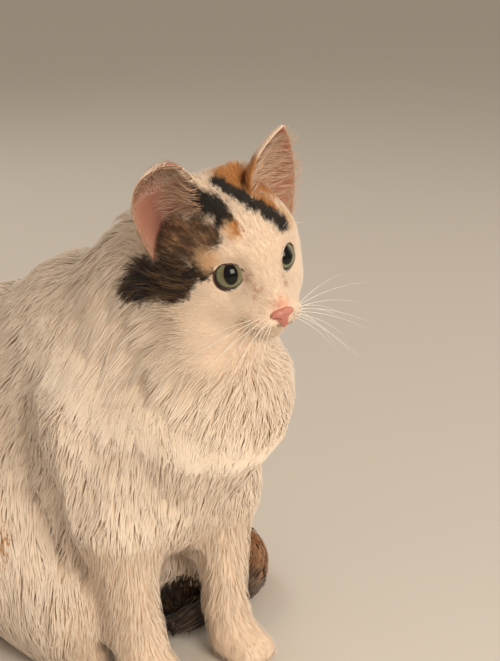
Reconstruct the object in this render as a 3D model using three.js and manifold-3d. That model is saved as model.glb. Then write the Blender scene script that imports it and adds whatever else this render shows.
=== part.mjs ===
// A seated semi-longhaired cat, life size, as a still model.
// Millimetres, +Z up. The cat faces -Y and its left side is +X. It sits on the floor, Z = 0.
// The outer surface is that of the coat: a field of soft masses, blended as muscle and fur are,
// is drawn as a closed skin and then parted into named pieces by thin cuts.

import * as THREE from "three";
import { mergeVertices } from "three/addons/utils/BufferGeometryUtils.js";
import Module from "manifold-3d";

const wasm = await Module();
wasm.setup();

// ---------------------------------------------------------------- driving dimensions

const CUT = 0.35; // gap between neighbouring pieces

const PAW_SPREAD = 35; // forepaws to either side of the middle
const WRIST_HEIGHT = 36;
const ELBOW_HEIGHT = 122;
const SHOULDER_OUT = 43;
const WITHERS_HEIGHT = 275;
const WITHERS_BACK = 118; // behind the forepaws
const BACK_HEIGHT = 236; // over the loins
const LOINS_BACK = 186;
const RUMP_BACK = 285;
const CHEST_RADIUS = 62; // breadth of the ruff at the base of the neck
const HAUNCH_OUT = 100; // outside of each thigh from the middle
const HIND_FOOT_OUT = 47;

const EYE_SPREAD = 20.5; // middle of each eye's opening from the middle of the head
const EYE_RADIUS = 10.6;
const EYE_DEPTH = 5.2; // centre of the eyeball behind its opening
const EYE_TURN = 0.49; // each eye looks this far outwards, in radians
const NOSE_OUT = 27; // nose tip ahead of the eyes
const NOSE_DROP = 24; // and below them
const EAR_THICKNESS = 3.2;
const EAR_DEPTH = 17; // depth of the cup at its foot
const EAR_BREADTH = 44;

const TAIL_RADIUS = 21;
const TAIL_CLEARANCE = 3.2; // between the tail and the body that it leans on

// The head's own frame: its origin lies between the eyes, on the front of the face.
const head = new THREE.Object3D();
head.position.set(13.3, -46.5, 289.6);
head.rotation.set(
  THREE.MathUtils.degToRad(5.3),
  THREE.MathUtils.degToRad(-8.4),
  THREE.MathUtils.degToRad(-12.7),
  "ZXY",
);
head.updateMatrixWorld(true);

// ---------------------------------------------------------------- masses

const SIDES = { left: 1, right: -1 };
const point = (x, y, z) => new THREE.Vector3(x, y, z);

// An egg of three radii, turned by a quaternion. blend is how softly it joins.
function egg(centre, [rx, ry, rz], blend, turn = new THREE.Quaternion()) {
  const back = new THREE.Matrix4().compose(centre, turn, point(1, 1, 1)).invert();
  const e = back.elements;
  return {
    blend,
    distance(x, y, z) {
      const u = e[0] * x + e[4] * y + e[8] * z + e[12];
      const v = e[1] * x + e[5] * y + e[9] * z + e[13];
      const w = e[2] * x + e[6] * y + e[10] * z + e[14];
      const scaled = Math.hypot(u / rx, v / ry, w / rz);
      const slope = Math.hypot(u / (rx * rx), v / (ry * ry), w / (rz * rz));
      return slope < 1e-9 ? -Math.min(rx, ry, rz) : (scaled * (scaled - 1)) / slope;
    },
  };
}

// A tapering limb from one round end to another.
function limb(from, fromRadius, to, toRadius, blend) {
  const way = to.clone().sub(from);
  const length2 = way.lengthSq();
  return {
    blend,
    distance(x, y, z) {
      const dx = x - from.x;
      const dy = y - from.y;
      const dz = z - from.z;
      const along = (dx * way.x + dy * way.y + dz * way.z) / length2;
      const t = Math.min(1, Math.max(0, along));
      const off = Math.hypot(dx - t * way.x, dy - t * way.y, dz - t * way.z);
      return off - fromRadius - t * (toRadius - fromRadius);
    },
  };
}

// The field of several masses: below zero inside. Each blends with what came before it,
// or hollows it out.
function field(masses) {
  return (x, y, z) => {
    let d = 1e9;
    for (const { distance, blend: k, hollow } of masses) {
      const next = distance(x, y, z);
      const sign = hollow ? -1 : 1;
      const h = Math.max(k - Math.abs(sign * d - next), 0) / k;
      d = sign * (Math.min(sign * d, next) - (h * h * k) / 4);
    }
    return d;
  };
}

// ---------------------------------------------------------------- trunk, neck and haunches

const trunkMasses = [
  limb(point(0, 70, 178), 60, point(0, 150, 150), 74, 30), // ribs
  egg(point(0, LOINS_BACK - 4, BACK_HEIGHT - 92), [77, 90, 92], 40), // loins
  egg(point(0, RUMP_BACK - 82, 78), [79, 82, 76], 40), // rump
  egg(point(0, WITHERS_BACK - 14, WITHERS_HEIGHT - 56), [46, 50, 56], 36), // withers
  egg(point(4, -5, 209), [CHEST_RADIUS, 58, 52], 24), // ruff
  limb(point(8, 2, 184), 52, point(3, 30, 124), 42, 30), // breast
  limb(point(13, 12, 266), 44, point(3, 60, 226), 56, 30), // neck
  egg(point(12, 34, 279), [42, 44, 42], 24), // nape
  egg(point(0, 105, 75), [60, 70, 56], 30), // belly
];

// How far behind the forepaws the middle of each hind foot's toes stands.
const hindFeet = { left: 72, right: 60 };

const haunchMasses = Object.entries(hindFeet).flatMap(([name, toes]) => {
  const out = (x, y, z) => point(SIDES[name] * x, y, z);
  return [
    egg(out(HAUNCH_OUT - 42, 158, 84), [42, 80, 74], 26), // thigh
    limb(out(HAUNCH_OUT - 44, 120, 64), 40, out(HAUNCH_OUT - 44, 68, 52), 30, 20), // knee
    egg(out(HIND_FOOT_OUT + 10, toes + 24, 30), [25, 46, 32], 20), // shank
    limb(out(HIND_FOOT_OUT + 12, 170, 18), 19, out(HIND_FOOT_OUT, toes + 6, 13), 15, 12), // hind foot
    egg(out(HIND_FOOT_OUT - 1, toes, 11), [18.5, 24, 13], 8), // hind toes
  ];
});

// ---------------------------------------------------------------- forelegs

// Each foreleg: where its paw and its elbow are, and its radius above the paw with the coat on it.
const forelegs = {
  left: { paw: point(PAW_SPREAD, -5, 0), elbow: point(43, 20, ELBOW_HEIGHT), thickness: 15.6 },
  right: { paw: point(1 - PAW_SPREAD, 8, 0), elbow: point(-40, 30, ELBOW_HEIGHT), thickness: 17.4 },
};

const forelegMasses = Object.values(forelegs).flatMap(({ paw, elbow, thickness }) => {
  const side = Math.sign(paw.x);
  const wrist = point(paw.x, paw.y + 9, WRIST_HEIGHT);
  const shoulder = point(side * SHOULDER_OUT, elbow.y + 14, ELBOW_HEIGHT + 62);
  return [
    limb(shoulder, 38, elbow, 31, 22),
    limb(elbow, 26, wrist, thickness, 14),
    limb(wrist, thickness, point(paw.x, paw.y + 4, 18), thickness + 0.4, 10),
    egg(point(paw.x, paw.y - 7, 11), [20, 25, 14], 9),
    ...[-1.5, -0.5, 0.5, 1.5].map((toe) =>
      egg(
        point(paw.x + toe * 8.6, paw.y - 23 + Math.abs(toe) * 3.2, 9),
        [5.6, 10, 9],
        4,
      ),
    ),
  ];
});

// ---------------------------------------------------------------- tail

// The tail leaves the rump, curls round the left side and ends behind the left forefoot.
const tailRoute = new THREE.CatmullRomCurve3([
  point(22, RUMP_BACK - 26, 30),
  point(74, RUMP_BACK - 18, 21),
  point(117, 218, 20),
  point(131, 152, 20),
  point(125, 86, 19),
  point(98, 50, 18),
  point(58, 38, 17),
  point(14, 34, 15),
]);
const TAIL_STEPS = 14;
// Fullest before its middle, and tapering to the tip.
const tailRadius = (t) =>
  TAIL_RADIUS * (0.86 + 0.3 * Math.sin(Math.PI * Math.min(1, t * 1.15)) - 0.42 * t ** 3);
const tailMasses = Array.from({ length: TAIL_STEPS }, (_, i) => {
  const [t0, t1] = [i / TAIL_STEPS, (i + 1) / TAIL_STEPS];
  return limb(tailRoute.getPoint(t0), tailRadius(t0), tailRoute.getPoint(t1), tailRadius(t1), 5);
});

// ---------------------------------------------------------------- head

const inHead = (x, y, z) => point(x, y, z).applyMatrix4(head.matrixWorld);
const aboutZ = (angle) => new THREE.Quaternion().setFromAxisAngle(point(0, 0, 1), angle);
const headEgg = (x, y, z, radii, blend, turn = 0) =>
  egg(inHead(x, y, z), radii, blend, head.quaternion.clone().multiply(aboutZ(turn)));
const headLimb = (from, r0, to, r1, blend) => limb(inHead(...from), r0, inHead(...to), r1, blend);
const pair = (make) => [-1, 1].map(make);
const headBack = inHead(0, 1, 0).sub(inHead(0, 0, 0));

// A point on the line of sight of an eye, so far behind the middle of its opening.
const eyeLine = (side, behind) => [
  side * (EYE_SPREAD - behind * Math.sin(EYE_TURN)),
  behind * Math.cos(EYE_TURN),
  0,
];

const headMasses = [
  headEgg(0, 40, 8, [43, 46, 36], 10), // skull
  headEgg(0, 14, 13, [32, 24, 22], 14), // forehead
  headLimb([0, 0, 0], 12.5, [0, -NOSE_OUT + 8, -NOSE_DROP + 8], 7.5, 10), // bridge of the nose
  ...pair((side) => headEgg(side * 13, 3, -16, [13, 15, 13], 10)), // sides of the face
  ...pair((side) => headEgg(side * 23, 25, -19, [21, 25, 22], 14)), // cheeks
  ...pair((side) => headEgg(side * 32, 46, -20, [24, 26, 27], 14)), // jowls
  ...pair((side) => headEgg(side * 34, 44, 0, [18, 24, 22], 12)), // below the ears
  headEgg(0, 14, -26, [26, 30, 17], 12), // jaw
  ...pair((side) => headEgg(side * 8.5, -13.5, -27, [11.5, 11, 7.8], 5)), // whisker pads
  headEgg(0, -8, -23, [14, 15, 11], 8), // muzzle
  headEgg(0, -10, -37.5, [9, 9.5, 6.2], 4), // chin
  ...pair((side) => headEgg(side * 19, 10, 12.5, [13, 9, 6], 7)), // brows
  ...pair((side) => headEgg(side * 20, 54, 32, [20, 13, 18], 14)), // behind the ears
  ...pair((side) => ({
    ...headEgg(...eyeLine(side, -6.5), [12, 6.5, 13.5], 4, side * EYE_TURN), // eye sockets
    hollow: true,
  })),
];

const noseMasses = [
  headEgg(0, -NOSE_OUT + 4, -NOSE_DROP + 1, [7.4, 4.6, 4.6], 2),
  headEgg(0, -NOSE_OUT + 4.4, -NOSE_DROP - 3.2, [2.8, 3.6, 4], 3),
];

// ---------------------------------------------------------------- from field to solid

// Draws the zero surface of a field as a closed mesh: one vertex in each grid cell that the
// surface crosses, pulled onto the surface, and one quad for each grid edge that it crosses.
function drawn(distance, low, high, cell) {
  const count = [0, 1, 2].map((k) => Math.ceil((high[k] - low[k]) / cell) + 1);
  const [nx, ny, nz] = count;
  const index = (i, j, k) => i + nx * (j + ny * k);
  const values = new Float32Array(nx * ny * nz);
  for (let k = 0; k < nz; k++)
    for (let j = 0; j < ny; j++)
      for (let i = 0; i < nx; i++) {
        const rim = i === 0 || j === 0 || k === 0 || i === nx - 1 || j === ny - 1 || k === nz - 1;
        values[index(i, j, k)] = rim
          ? cell
          : distance(low[0] + i * cell, low[1] + j * cell, low[2] + k * cell);
      }
  untangle(values, [1, nx, nx * ny]);
  const corners = [0, 1, 2, 3, 4, 5, 6, 7].map((c) => [c & 1, (c >> 1) & 1, c >> 2]);
  const edges = corners.flatMap((c, n) =>
    [1, 2, 4].filter((bit) => !(n & bit)).map((bit) => [n, n | bit]),
  );
  const vertexOf = new Map();
  const positions = [];
  for (let k = 0; k < nz - 1; k++)
    for (let j = 0; j < ny - 1; j++)
      for (let i = 0; i < nx - 1; i++) {
        const at = corners.map(([a, b, c]) => values[index(i + a, j + b, k + c)]);
        if (at.every((v) => v < 0) || at.every((v) => v >= 0)) continue;
        const mean = point(0, 0, 0);
        let crossings = 0;
        for (const [a, b] of edges) {
          if (at[a] < 0 === at[b] < 0) continue;
          const t = at[a] / (at[a] - at[b]);
          mean.add(point(...corners[a]).lerp(point(...corners[b]), t));
          crossings++;
        }
        mean.divideScalar(crossings).add(point(i, j, k)).multiplyScalar(cell).add(point(...low));
        pullOnto(distance, mean, cell);
        vertexOf.set(index(i, j, k), positions.length / 3);
        positions.push(mean.x, mean.y, mean.z);
      }
  const triangles = [];
  const steps = [1, nx, nx * ny];
  for (let k = 0; k < nz - 1; k++)
    for (let j = 0; j < ny - 1; j++)
      for (let i = 0; i < nx - 1; i++) {
        const here = index(i, j, k);
        for (let axis = 0; axis < 3; axis++) {
          const inside = values[here] < 0;
          if (inside === values[here + steps[axis]] < 0) continue;
          const [u, v] = [steps[(axis + 1) % 3], steps[(axis + 2) % 3]];
          const ring = [here - u - v, here - v, here, here - u].map((cellIndex) => vertexOf.get(cellIndex));
          if (!inside) ring.reverse();
          triangles.push(ring[0], ring[1], ring[2], ring[0], ring[2], ring[3]);
        }
      }
  return solid(new Float32Array(positions), new Uint32Array(triangles));
}

// Where the corners of a grid square alternate, two sheets of the surface would share an edge:
// the shallower of the two inner corners then becomes an outer one.
function untangle(values, steps) {
  let tangled = true;
  while (tangled) {
    tangled = false;
    for (let n = 0; n < values.length; n++)
      for (const axis of [0, 1, 2]) {
        const [u, v] = [steps[axis], steps[(axis + 1) % 3]];
        const square = [n, n + u, n + u + v, n + v];
        const [a, b, c, d] = square.map((at) => values[at] < 0);
        if (a !== c || b !== d || a === b || n + u + v >= values.length) continue;
        const [first, second] = square.filter((at) => values[at] < 0);
        values[values[first] > values[second] ? first : second] = 1e-3;
        tangled = true;
      }
  }
}

// Moves a point onto the surface down the field's slope, by less than half a cell.
function pullOnto(distance, p, cell) {
  const start = p.clone();
  const h = 0.05;
  for (let step = 0; step < 3; step++) {
    const d = distance(p.x, p.y, p.z);
    const slope = point(
      distance(p.x + h, p.y, p.z) - distance(p.x - h, p.y, p.z),
      distance(p.x, p.y + h, p.z) - distance(p.x, p.y - h, p.z),
      distance(p.x, p.y, p.z + h) - distance(p.x, p.y, p.z - h),
    ).divideScalar(2 * h);
    p.addScaledVector(slope, -d / Math.max(slope.lengthSq(), 0.2));
  }
  const moved = p.clone().sub(start);
  p.copy(start).add(moved.clampLength(0, cell * 0.45));
}

const solid = (vertProperties, triVerts) =>
  new wasm.Manifold(new wasm.Mesh({ numProp: 3, vertProperties, triVerts }));

// A closed three.js geometry as a solid.
function solidOf(geometry) {
  const bare = new THREE.BufferGeometry().setAttribute("position", geometry.getAttribute("position"));
  bare.setIndex(geometry.index);
  const merged = mergeVertices(bare, 1e-3);
  return solid(merged.attributes.position.array, new Uint32Array(merged.index.array));
}

// ---------------------------------------------------------------- cutters

// Each cutter gives a solid, grown by a margin.
function box(low, high, frame = new THREE.Matrix4()) {
  return (margin) => {
    const size = high.map((v, k) => v - low[k] + 2 * margin);
    const middle = high.map((v, k) => (v + low[k]) / 2);
    return solidOf(new THREE.BoxGeometry(...size).translate(...middle).applyMatrix4(frame));
  };
}

const ball = (centre, radii) => (margin) =>
  solidOf(
    new THREE.SphereGeometry(1, 16, 10)
      .scale(...radii.map((r) => r + margin))
      .translate(centre.x, centre.y, centre.z),
  );

// All that lies behind a plane, seen along its normal.
const halfSpace = (at, normal) => (margin) => {
  const reach = 900;
  const turn = new THREE.Quaternion().setFromUnitVectors(point(0, 0, 1), normal.clone().normalize());
  const geometry = new THREE.BoxGeometry(reach, reach, reach).translate(0, 0, margin - reach / 2);
  return solidOf(geometry.applyQuaternion(turn).translate(at.x, at.y, at.z));
};

const floor = box([-600, -600, -200], [600, 600, 0])(0);

// ---------------------------------------------------------------- adding pieces

const group = new THREE.Group();

const FINISHES = {
  white: { color: 0xe9dfd0, roughness: 0.9 },
  patched: { color: 0xc9ad8c, roughness: 0.9 },
  nose: { color: 0xd98c86, roughness: 0.55 },
  eye: { color: 0x7d8a66, roughness: 0.15 },
  ear: { color: 0xd9a89a, roughness: 0.8 },
  tail: { color: 0x6b4a30, roughness: 0.9 },
};

function add(name, finish, made) {
  const mesh = made.getMesh();
  const geometry = new THREE.BufferGeometry()
    .setAttribute("position", new THREE.BufferAttribute(mesh.vertProperties, 3))
    .setIndex(new THREE.BufferAttribute(mesh.triVerts, 1));
  geometry.computeVertexNormals();
  const material = new THREE.MeshStandardMaterial({ metalness: 0, ...FINISHES[finish] });
  const shown = new THREE.Mesh(geometry, material);
  shown.name = name;
  group.add(shown);
}

// The largest body of a solid, without the crumbs that a cut can leave.
const largest = (made) =>
  made.decompose().reduce((best, body) => (body.volume() > best.volume() ? body : best));

const whole = field([...trunkMasses, ...haunchMasses, ...forelegMasses, ...headMasses]);
const LOW = [-150, -100, -14]; // corners of the space that the cat fills
const HIGH = [150, 310, 360];

// A piece of the body is what lies inside its cutter and outside those of the pieces before it.
// cell is the size of the grid that it is drawn on: the finer the form, the smaller the cell.
const taken = [];
function part(name, finish, cell, cutter) {
  const own = cutter(0);
  const reach = own.boundingBox();
  const low = LOW.map((v, k) => Math.max(v, reach.min[k] - 2 * cell));
  const high = HIGH.map((v, k) => Math.min(v, reach.max[k] + 2 * cell));
  let made = drawn(whole, low, high, cell).intersect(own).subtract(floor);
  for (const earlier of taken) made = made.subtract(earlier(CUT));
  taken.push(cutter);
  add(name, finish, largest(made));
}

// ---------------------------------------------------------------- ears

// Each ear's rim runs from the crown up to the tip and down the outside to the temple: the
// foot, the shaping point and the tip of both edges, in the head's frame.
const EARS = {
  left: {
    inner: [[16, 23, 28], [6, 25, 54]],
    tip: [43, 27, 72.5],
    outer: [[49, 35, 6], [58, 34, 44]],
  },
  right: {
    inner: [[-19, 24, 28], [-19, 14, 47]],
    tip: [-43.5, 22, 71],
    outer: [[-51, 38, 8], [-73, 37, 49]],
  },
};
const EAR_ROWS = 7;
const EAR_COLUMNS = 9;
const EAR_TOP = 0.98; // the rows stop just short of the tip

// The middle of an ear's leaf: t runs up from its foot, s from its inner to its outer edge.
function earSheet({ inner, tip, outer }) {
  const edge = ([foot, shaping]) =>
    new THREE.QuadraticBezierCurve3(inHead(...foot), inHead(...shaping), inHead(...tip));
  const [from, to] = [edge(inner), edge(outer)];
  const up = inHead(...tip).sub(from.getPoint(0).lerp(to.getPoint(0), 0.5)).normalize();
  return (t, s) => {
    const across = to.getPoint(t).sub(from.getPoint(t));
    const behind = across.clone().cross(up).normalize();
    if (behind.dot(headBack) < 0) behind.negate();
    const depth = EAR_DEPTH * Math.sin(Math.PI * s) ** 0.8 * (across.length() / EAR_BREADTH);
    return from.getPoint(t).lerp(to.getPoint(t), s).addScaledVector(behind, depth);
  };
}

// The way that the back of a sheet faces.
function sheetNormal(sheet, t, s) {
  const e = 1e-3;
  const rise = sheet(t + e, s).sub(sheet(t - e, s));
  const over = sheet(t, Math.min(s + e, 1)).sub(sheet(t, Math.max(s - e, 0)));
  const normal = rise.cross(over).normalize();
  return normal.dot(headBack) < 0 ? normal.negate() : normal;
}

// A cupped leaf of even thickness, hollow in front.
const ear = (side) => (margin) => {
  const sheet = earSheet(EARS[side]);
  const half = EAR_THICKNESS / 2 + margin;
  const positions = [];
  const triangles = [];
  const row = (EAR_COLUMNS + 1) * 2;
  for (let i = 0; i <= EAR_ROWS; i++)
    for (let j = 0; j <= EAR_COLUMNS; j++) {
      const [t, s] = [(i / EAR_ROWS) * EAR_TOP, j / EAR_COLUMNS];
      const normal = sheetNormal(sheet, Math.min(t, 0.9), s);
      for (const out of [-half, half]) positions.push(...sheet(t, s).addScaledVector(normal, out));
    }
  const at = (i, j, face) => i * row + j * 2 + face;
  const quad = (a, b, c, d) => triangles.push(a, b, c, a, c, d);
  const last = EAR_COLUMNS;
  for (let i = 0; i < EAR_ROWS; i++) {
    for (let j = 0; j < last; j++) {
      quad(at(i, j, 0), at(i, j + 1, 0), at(i + 1, j + 1, 0), at(i + 1, j, 0));
      quad(at(i, j, 1), at(i + 1, j, 1), at(i + 1, j + 1, 1), at(i, j + 1, 1));
    }
    quad(at(i, 0, 0), at(i + 1, 0, 0), at(i + 1, 0, 1), at(i, 0, 1));
    quad(at(i, last, 0), at(i, last, 1), at(i + 1, last, 1), at(i + 1, last, 0));
  }
  for (let j = 0; j < last; j++) {
    quad(at(0, j, 0), at(0, j, 1), at(0, j + 1, 1), at(0, j + 1, 0));
    quad(at(EAR_ROWS, j, 0), at(EAR_ROWS, j + 1, 0), at(EAR_ROWS, j + 1, 1), at(EAR_ROWS, j, 1));
  }
  const made = solid(new Float32Array(positions), new Uint32Array(triangles));
  if (made.volume() > 0) return made;
  return solid(new Float32Array(positions), new Uint32Array(triangles).reverse());
};

for (const side of Object.keys(SIDES)) {
  add(`ear_${side}`, "ear", ear(side)(0));
  taken.push(ear(side));
}

// ---------------------------------------------------------------- eyes and nose

for (const [side, sign] of Object.entries(SIDES)) {
  const centre = inHead(...eyeLine(sign, EYE_DEPTH));
  const eye = ball(centre, [EYE_RADIUS, EYE_RADIUS, EYE_RADIUS]);
  add(`eye_${side}`, "eye", eye(0));
  taken.push(eye);
}

const NOSE_CELL = 2.6;
const NOSE_REACH = 16; // from the nose's tip to the edge of the space that it is drawn in
const noseField = field(noseMasses);
const noseAt = inHead(0, -NOSE_OUT, -NOSE_DROP).toArray();
const noseSpace = [noseAt.map((v) => v - NOSE_REACH), noseAt.map((v) => v + NOSE_REACH)];
const nose = (margin) =>
  drawn((x, y, z) => noseField(x, y, z) - 2 * margin, ...noseSpace, NOSE_CELL);
add("nose", "nose", nose(0));
taken.push(nose);

// ---------------------------------------------------------------- head and neck

const inHeadFrame = head.matrixWorld;
part("jaw", "white", 6.5, box([-17, -40, -50], [17, 4, -34.5], inHeadFrame));
part("face", "white", 7, box([-60, -50, -44], [60, 8, 20], inHeadFrame));
part("head", "patched", 13, halfSpace(inHead(0, 52, -30), point(0.05, -0.75, 0.66).negate()));
part("neck", "white", 18, halfSpace(point(0, 40, 226), point(0, 0.35, -1)));

// ---------------------------------------------------------------- legs

for (const [side, sign] of Object.entries(SIDES)) {
  const { paw, elbow } = forelegs[side];
  const legBack = elbow.y + 25;
  const [inner, outer] = sign > 0 ? [-3, 90] : [-90, -5];
  part(`forepaw_${side}`, "white", 9, box([paw.x - 30, -60, -5], [paw.x + 30, paw.y + 34, 29]));
  part(`foreleg_${side}`, "white", 14.5, box([inner, -60, -5], [outer, legBack, ELBOW_HEIGHT]));
  const foot = sign * HIND_FOOT_OUT;
  part(`hind_foot_${side}`, "white", 10, box([foot - 26, 10, -5], [foot + 30, 108, 25]));
  part(`thigh_${side}`, "white", 23, ball(point(sign * 84, 146, 72), [46, 100, 94]));
}

// ---------------------------------------------------------------- trunk

part("chest", "white", 25, box([-200, -100, -20], [200, 128, 330]));
part("loins", "white", 26, box([-200, 120, -20], [200, 340, 330]));

// ---------------------------------------------------------------- tail

const TAIL_PIECES = ["tail_root", "tail_middle", "tail_tip"];
const leantOn = drawn((x, y, z) => whole(x, y, z) - TAIL_CLEARANCE, [-60, -40, -14], [170, 310, 80], 12);
TAIL_PIECES.forEach((name, i) => {
  const each = TAIL_STEPS / TAIL_PIECES.length;
  const [from, to] = [Math.round(i * each), Math.round((i + 1) * each)];
  const near = tailMasses.slice(Math.max(0, from - 1), to + 1);
  let made = drawn(field(near), [-30, -10, -14], [165, 310, 70], 15).subtract(floor);
  const trim = (step, sign) => {
    const t = step / TAIL_STEPS;
    const along = tailRoute.getTangent(t).multiplyScalar(sign);
    return halfSpace(tailRoute.getPoint(t).addScaledVector(along, -CUT / 2), along)(0);
  };
  if (i > 0) made = made.intersect(trim(from, -1));
  if (i < TAIL_PIECES.length - 1) made = made.intersect(trim(to, 1));
  made = made.subtract(leantOn);
  add(name, "tail", largest(made));
});

// ---------------------------------------------------------------- origin

// The model's origin is on the floor, under the middle of the whole cat.
const bounds = new THREE.Box3().setFromObject(group);
const middle = bounds.getCenter(new THREE.Vector3());
group.position.set(-middle.x, -middle.y, 0);

export default group;
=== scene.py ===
import math

import bpy
import numpy as np
import openvdb as vdb
from mathutils import Matrix, Vector


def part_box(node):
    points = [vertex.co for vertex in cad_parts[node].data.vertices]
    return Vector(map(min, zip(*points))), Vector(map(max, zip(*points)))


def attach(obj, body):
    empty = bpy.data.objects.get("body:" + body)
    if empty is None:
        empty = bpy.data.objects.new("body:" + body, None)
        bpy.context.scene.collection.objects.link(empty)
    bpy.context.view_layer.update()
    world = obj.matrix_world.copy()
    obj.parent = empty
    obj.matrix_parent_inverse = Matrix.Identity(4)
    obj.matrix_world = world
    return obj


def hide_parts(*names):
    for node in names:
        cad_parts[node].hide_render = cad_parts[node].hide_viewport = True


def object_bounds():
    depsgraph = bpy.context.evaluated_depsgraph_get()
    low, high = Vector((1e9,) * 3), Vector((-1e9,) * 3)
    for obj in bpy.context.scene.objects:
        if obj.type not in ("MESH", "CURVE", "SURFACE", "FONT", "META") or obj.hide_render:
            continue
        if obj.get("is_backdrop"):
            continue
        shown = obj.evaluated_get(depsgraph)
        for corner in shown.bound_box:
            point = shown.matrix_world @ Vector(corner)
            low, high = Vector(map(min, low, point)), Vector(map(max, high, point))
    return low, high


# A seated cat, in metres: x goes to its left, y to its back and z up from the floor it sits on.
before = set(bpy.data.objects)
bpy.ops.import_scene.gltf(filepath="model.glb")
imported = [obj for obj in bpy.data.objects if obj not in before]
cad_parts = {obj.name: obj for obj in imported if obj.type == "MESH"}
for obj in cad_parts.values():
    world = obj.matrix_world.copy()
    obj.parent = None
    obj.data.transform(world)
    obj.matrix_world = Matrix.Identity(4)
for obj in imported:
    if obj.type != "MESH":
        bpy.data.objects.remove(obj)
cad_low, cad_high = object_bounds()
cad_box = [list(cad_low), list(cad_high)]


# ---------------------------------------------------------------- studio
# A plain pale floor under soft, slightly warm light: one lamp before the cat's right shoulder, a
# wide one on its left and one behind. The camera looks down a little on the cat's right front.
eye_boxes = {side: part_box(f"eye_{side}") for side in ("left", "right")}
eyes_middle = sum((corner for box in eye_boxes.values() for corner in box), Vector()) / 4
CAMERA_FROM_EYES = Vector((-0.6274, -0.6029, 0.2408))
CAMERA_PITCH = math.radians(18)
CAMERA_HEADING = math.radians(-46)
CAMERA_LENS = 81.2

camera = bpy.data.objects.new("camera", bpy.data.cameras.new("camera"))
camera.data.lens = CAMERA_LENS
camera.location = eyes_middle + CAMERA_FROM_EYES
camera.rotation_euler = (math.pi / 2 - CAMERA_PITCH, 0, CAMERA_HEADING)
bpy.context.scene.collection.objects.link(camera)
bpy.context.scene.camera = camera
bpy.context.scene.view_settings.view_transform = "Standard"


def material(name, **sockets):
    """A new material, with constants set on its Principled shader's own sockets."""
    made = bpy.data.materials.new(name)
    made.use_nodes = True
    shader = made.node_tree.nodes["Principled BSDF"]
    for socket, value in sockets.items():
        shader.inputs[socket.replace("_", " ").title().replace("Ior", "IOR")].default_value = value
    return made, made.node_tree, shader


def node(tree, kind, **inputs):
    """A node of this kind in the tree, with its named inputs linked or set."""
    made = tree.nodes.new(kind)
    for key, value in inputs.items():
        socket = made.inputs[key.replace("_", " ")]
        if isinstance(value, bpy.types.NodeSocket):
            tree.links.new(value, socket)
        else:
            socket.default_value = value
    return made


def mixed(tree, amount, under, over):
    """One colour laid over another."""
    made = tree.nodes.new("ShaderNodeMix")
    made.data_type = "RGBA"
    for socket, value in ((made.inputs[0], amount), (made.inputs[6], under), (made.inputs[7], over)):
        if isinstance(value, bpy.types.NodeSocket):
            tree.links.new(value, socket)
        else:
            socket.default_value = (*value, 1) if isinstance(value, tuple) else value
    return made.outputs[2]


def piece(name, vertices, faces, smooth=True):
    """A mesh object in the row frame, at the origin."""
    mesh = bpy.data.meshes.new(name)
    mesh.from_pydata([tuple(v) for v in vertices], [], [tuple(f) for f in faces])
    mesh.polygons.foreach_set("use_smooth", [smooth] * len(mesh.polygons))
    made = bpy.data.objects.new(name, mesh)
    bpy.context.scene.collection.objects.link(made)
    return made


FLOOR_HALF = 30.0
floor_corners = [(x, y, 0) for x, y in ((-1, -1), (1, -1), (1, 1), (-1, 1))]
floor = piece("floor", np.array(floor_corners) * FLOOR_HALF, [(0, 1, 2, 3)], smooth=False)
floor_finish, floor_tree, floor_shader = material("pale floor", roughness=0.75)
floor_grain = node(floor_tree, "ShaderNodeTexNoise", Scale=9.0, Detail=4.0)
floor_tone = mixed(floor_tree, floor_grain.outputs["Fac"], (0.66, 0.63, 0.59), (0.72, 0.69, 0.65))
floor_tree.links.new(floor_tone, floor_shader.inputs["Base Color"])
floor.data.materials.append(floor_finish)
floor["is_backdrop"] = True

room = bpy.data.worlds.new("room")
room.use_nodes = True
room_light = room.node_tree.nodes["Background"].inputs
room_light["Color"].default_value = (0.84, 0.71, 0.57, 1)
room_light["Strength"].default_value = 0.5
bpy.context.scene.world = room

lamps_aim = eyes_middle * 0.7
for name, size, energy, place, tint in (
    ("key lamp", 0.6, 12.5, (-0.35, -1.20, 0.85), (1.0, 0.88, 0.73)),
    ("fill lamp", 1.2, 7.0, (1.5, -0.8, 0.9), (1.0, 0.90, 0.78)),
    ("back lamp", 0.8, 7.5, (0.4, 1.5, 1.4), (1.0, 0.92, 0.82)),
):
    lamp = bpy.data.objects.new(name, bpy.data.lights.new(name, "AREA"))
    lamp.data.size = size
    lamp.data.energy = energy
    lamp.data.color = tint
    lamp.location = place
    lamp.rotation_euler = (lamps_aim - lamp.location).to_track_quat("-Z", "Y").to_euler()
    bpy.context.scene.collection.objects.link(lamp)


# ---------------------------------------------------------------- head's own axes
# The head is turned to its right, nods a little and is tipped to one side. Its axes start
# midway between the eyes: x to the cat's left, y to the back of the head, z to the crown.
HEAD_TURN = math.radians(-12.7)
HEAD_NOD = math.radians(5.3)
HEAD_TILT = math.radians(-8.4)
EYE_BEHIND = 0.0046
head_turned = (Matrix.Rotation(HEAD_TURN, 3, "Z") @ Matrix.Rotation(HEAD_NOD, 3, "X")
               @ Matrix.Rotation(HEAD_TILT, 3, "Y"))
head_middle = eyes_middle - head_turned @ Vector((0, EYE_BEHIND, 0))
HEAD_AXES = np.array(head_turned)
HEAD_ORIGIN = np.array(head_middle)


def from_head(points):
    """Points in the head's axes, placed in the row frame."""
    return np.asarray(points) @ HEAD_AXES.T + HEAD_ORIGIN


def in_head(points):
    """Points of the row frame, in the head's axes."""
    return (np.asarray(points) - HEAD_ORIGIN) @ HEAD_AXES


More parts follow.
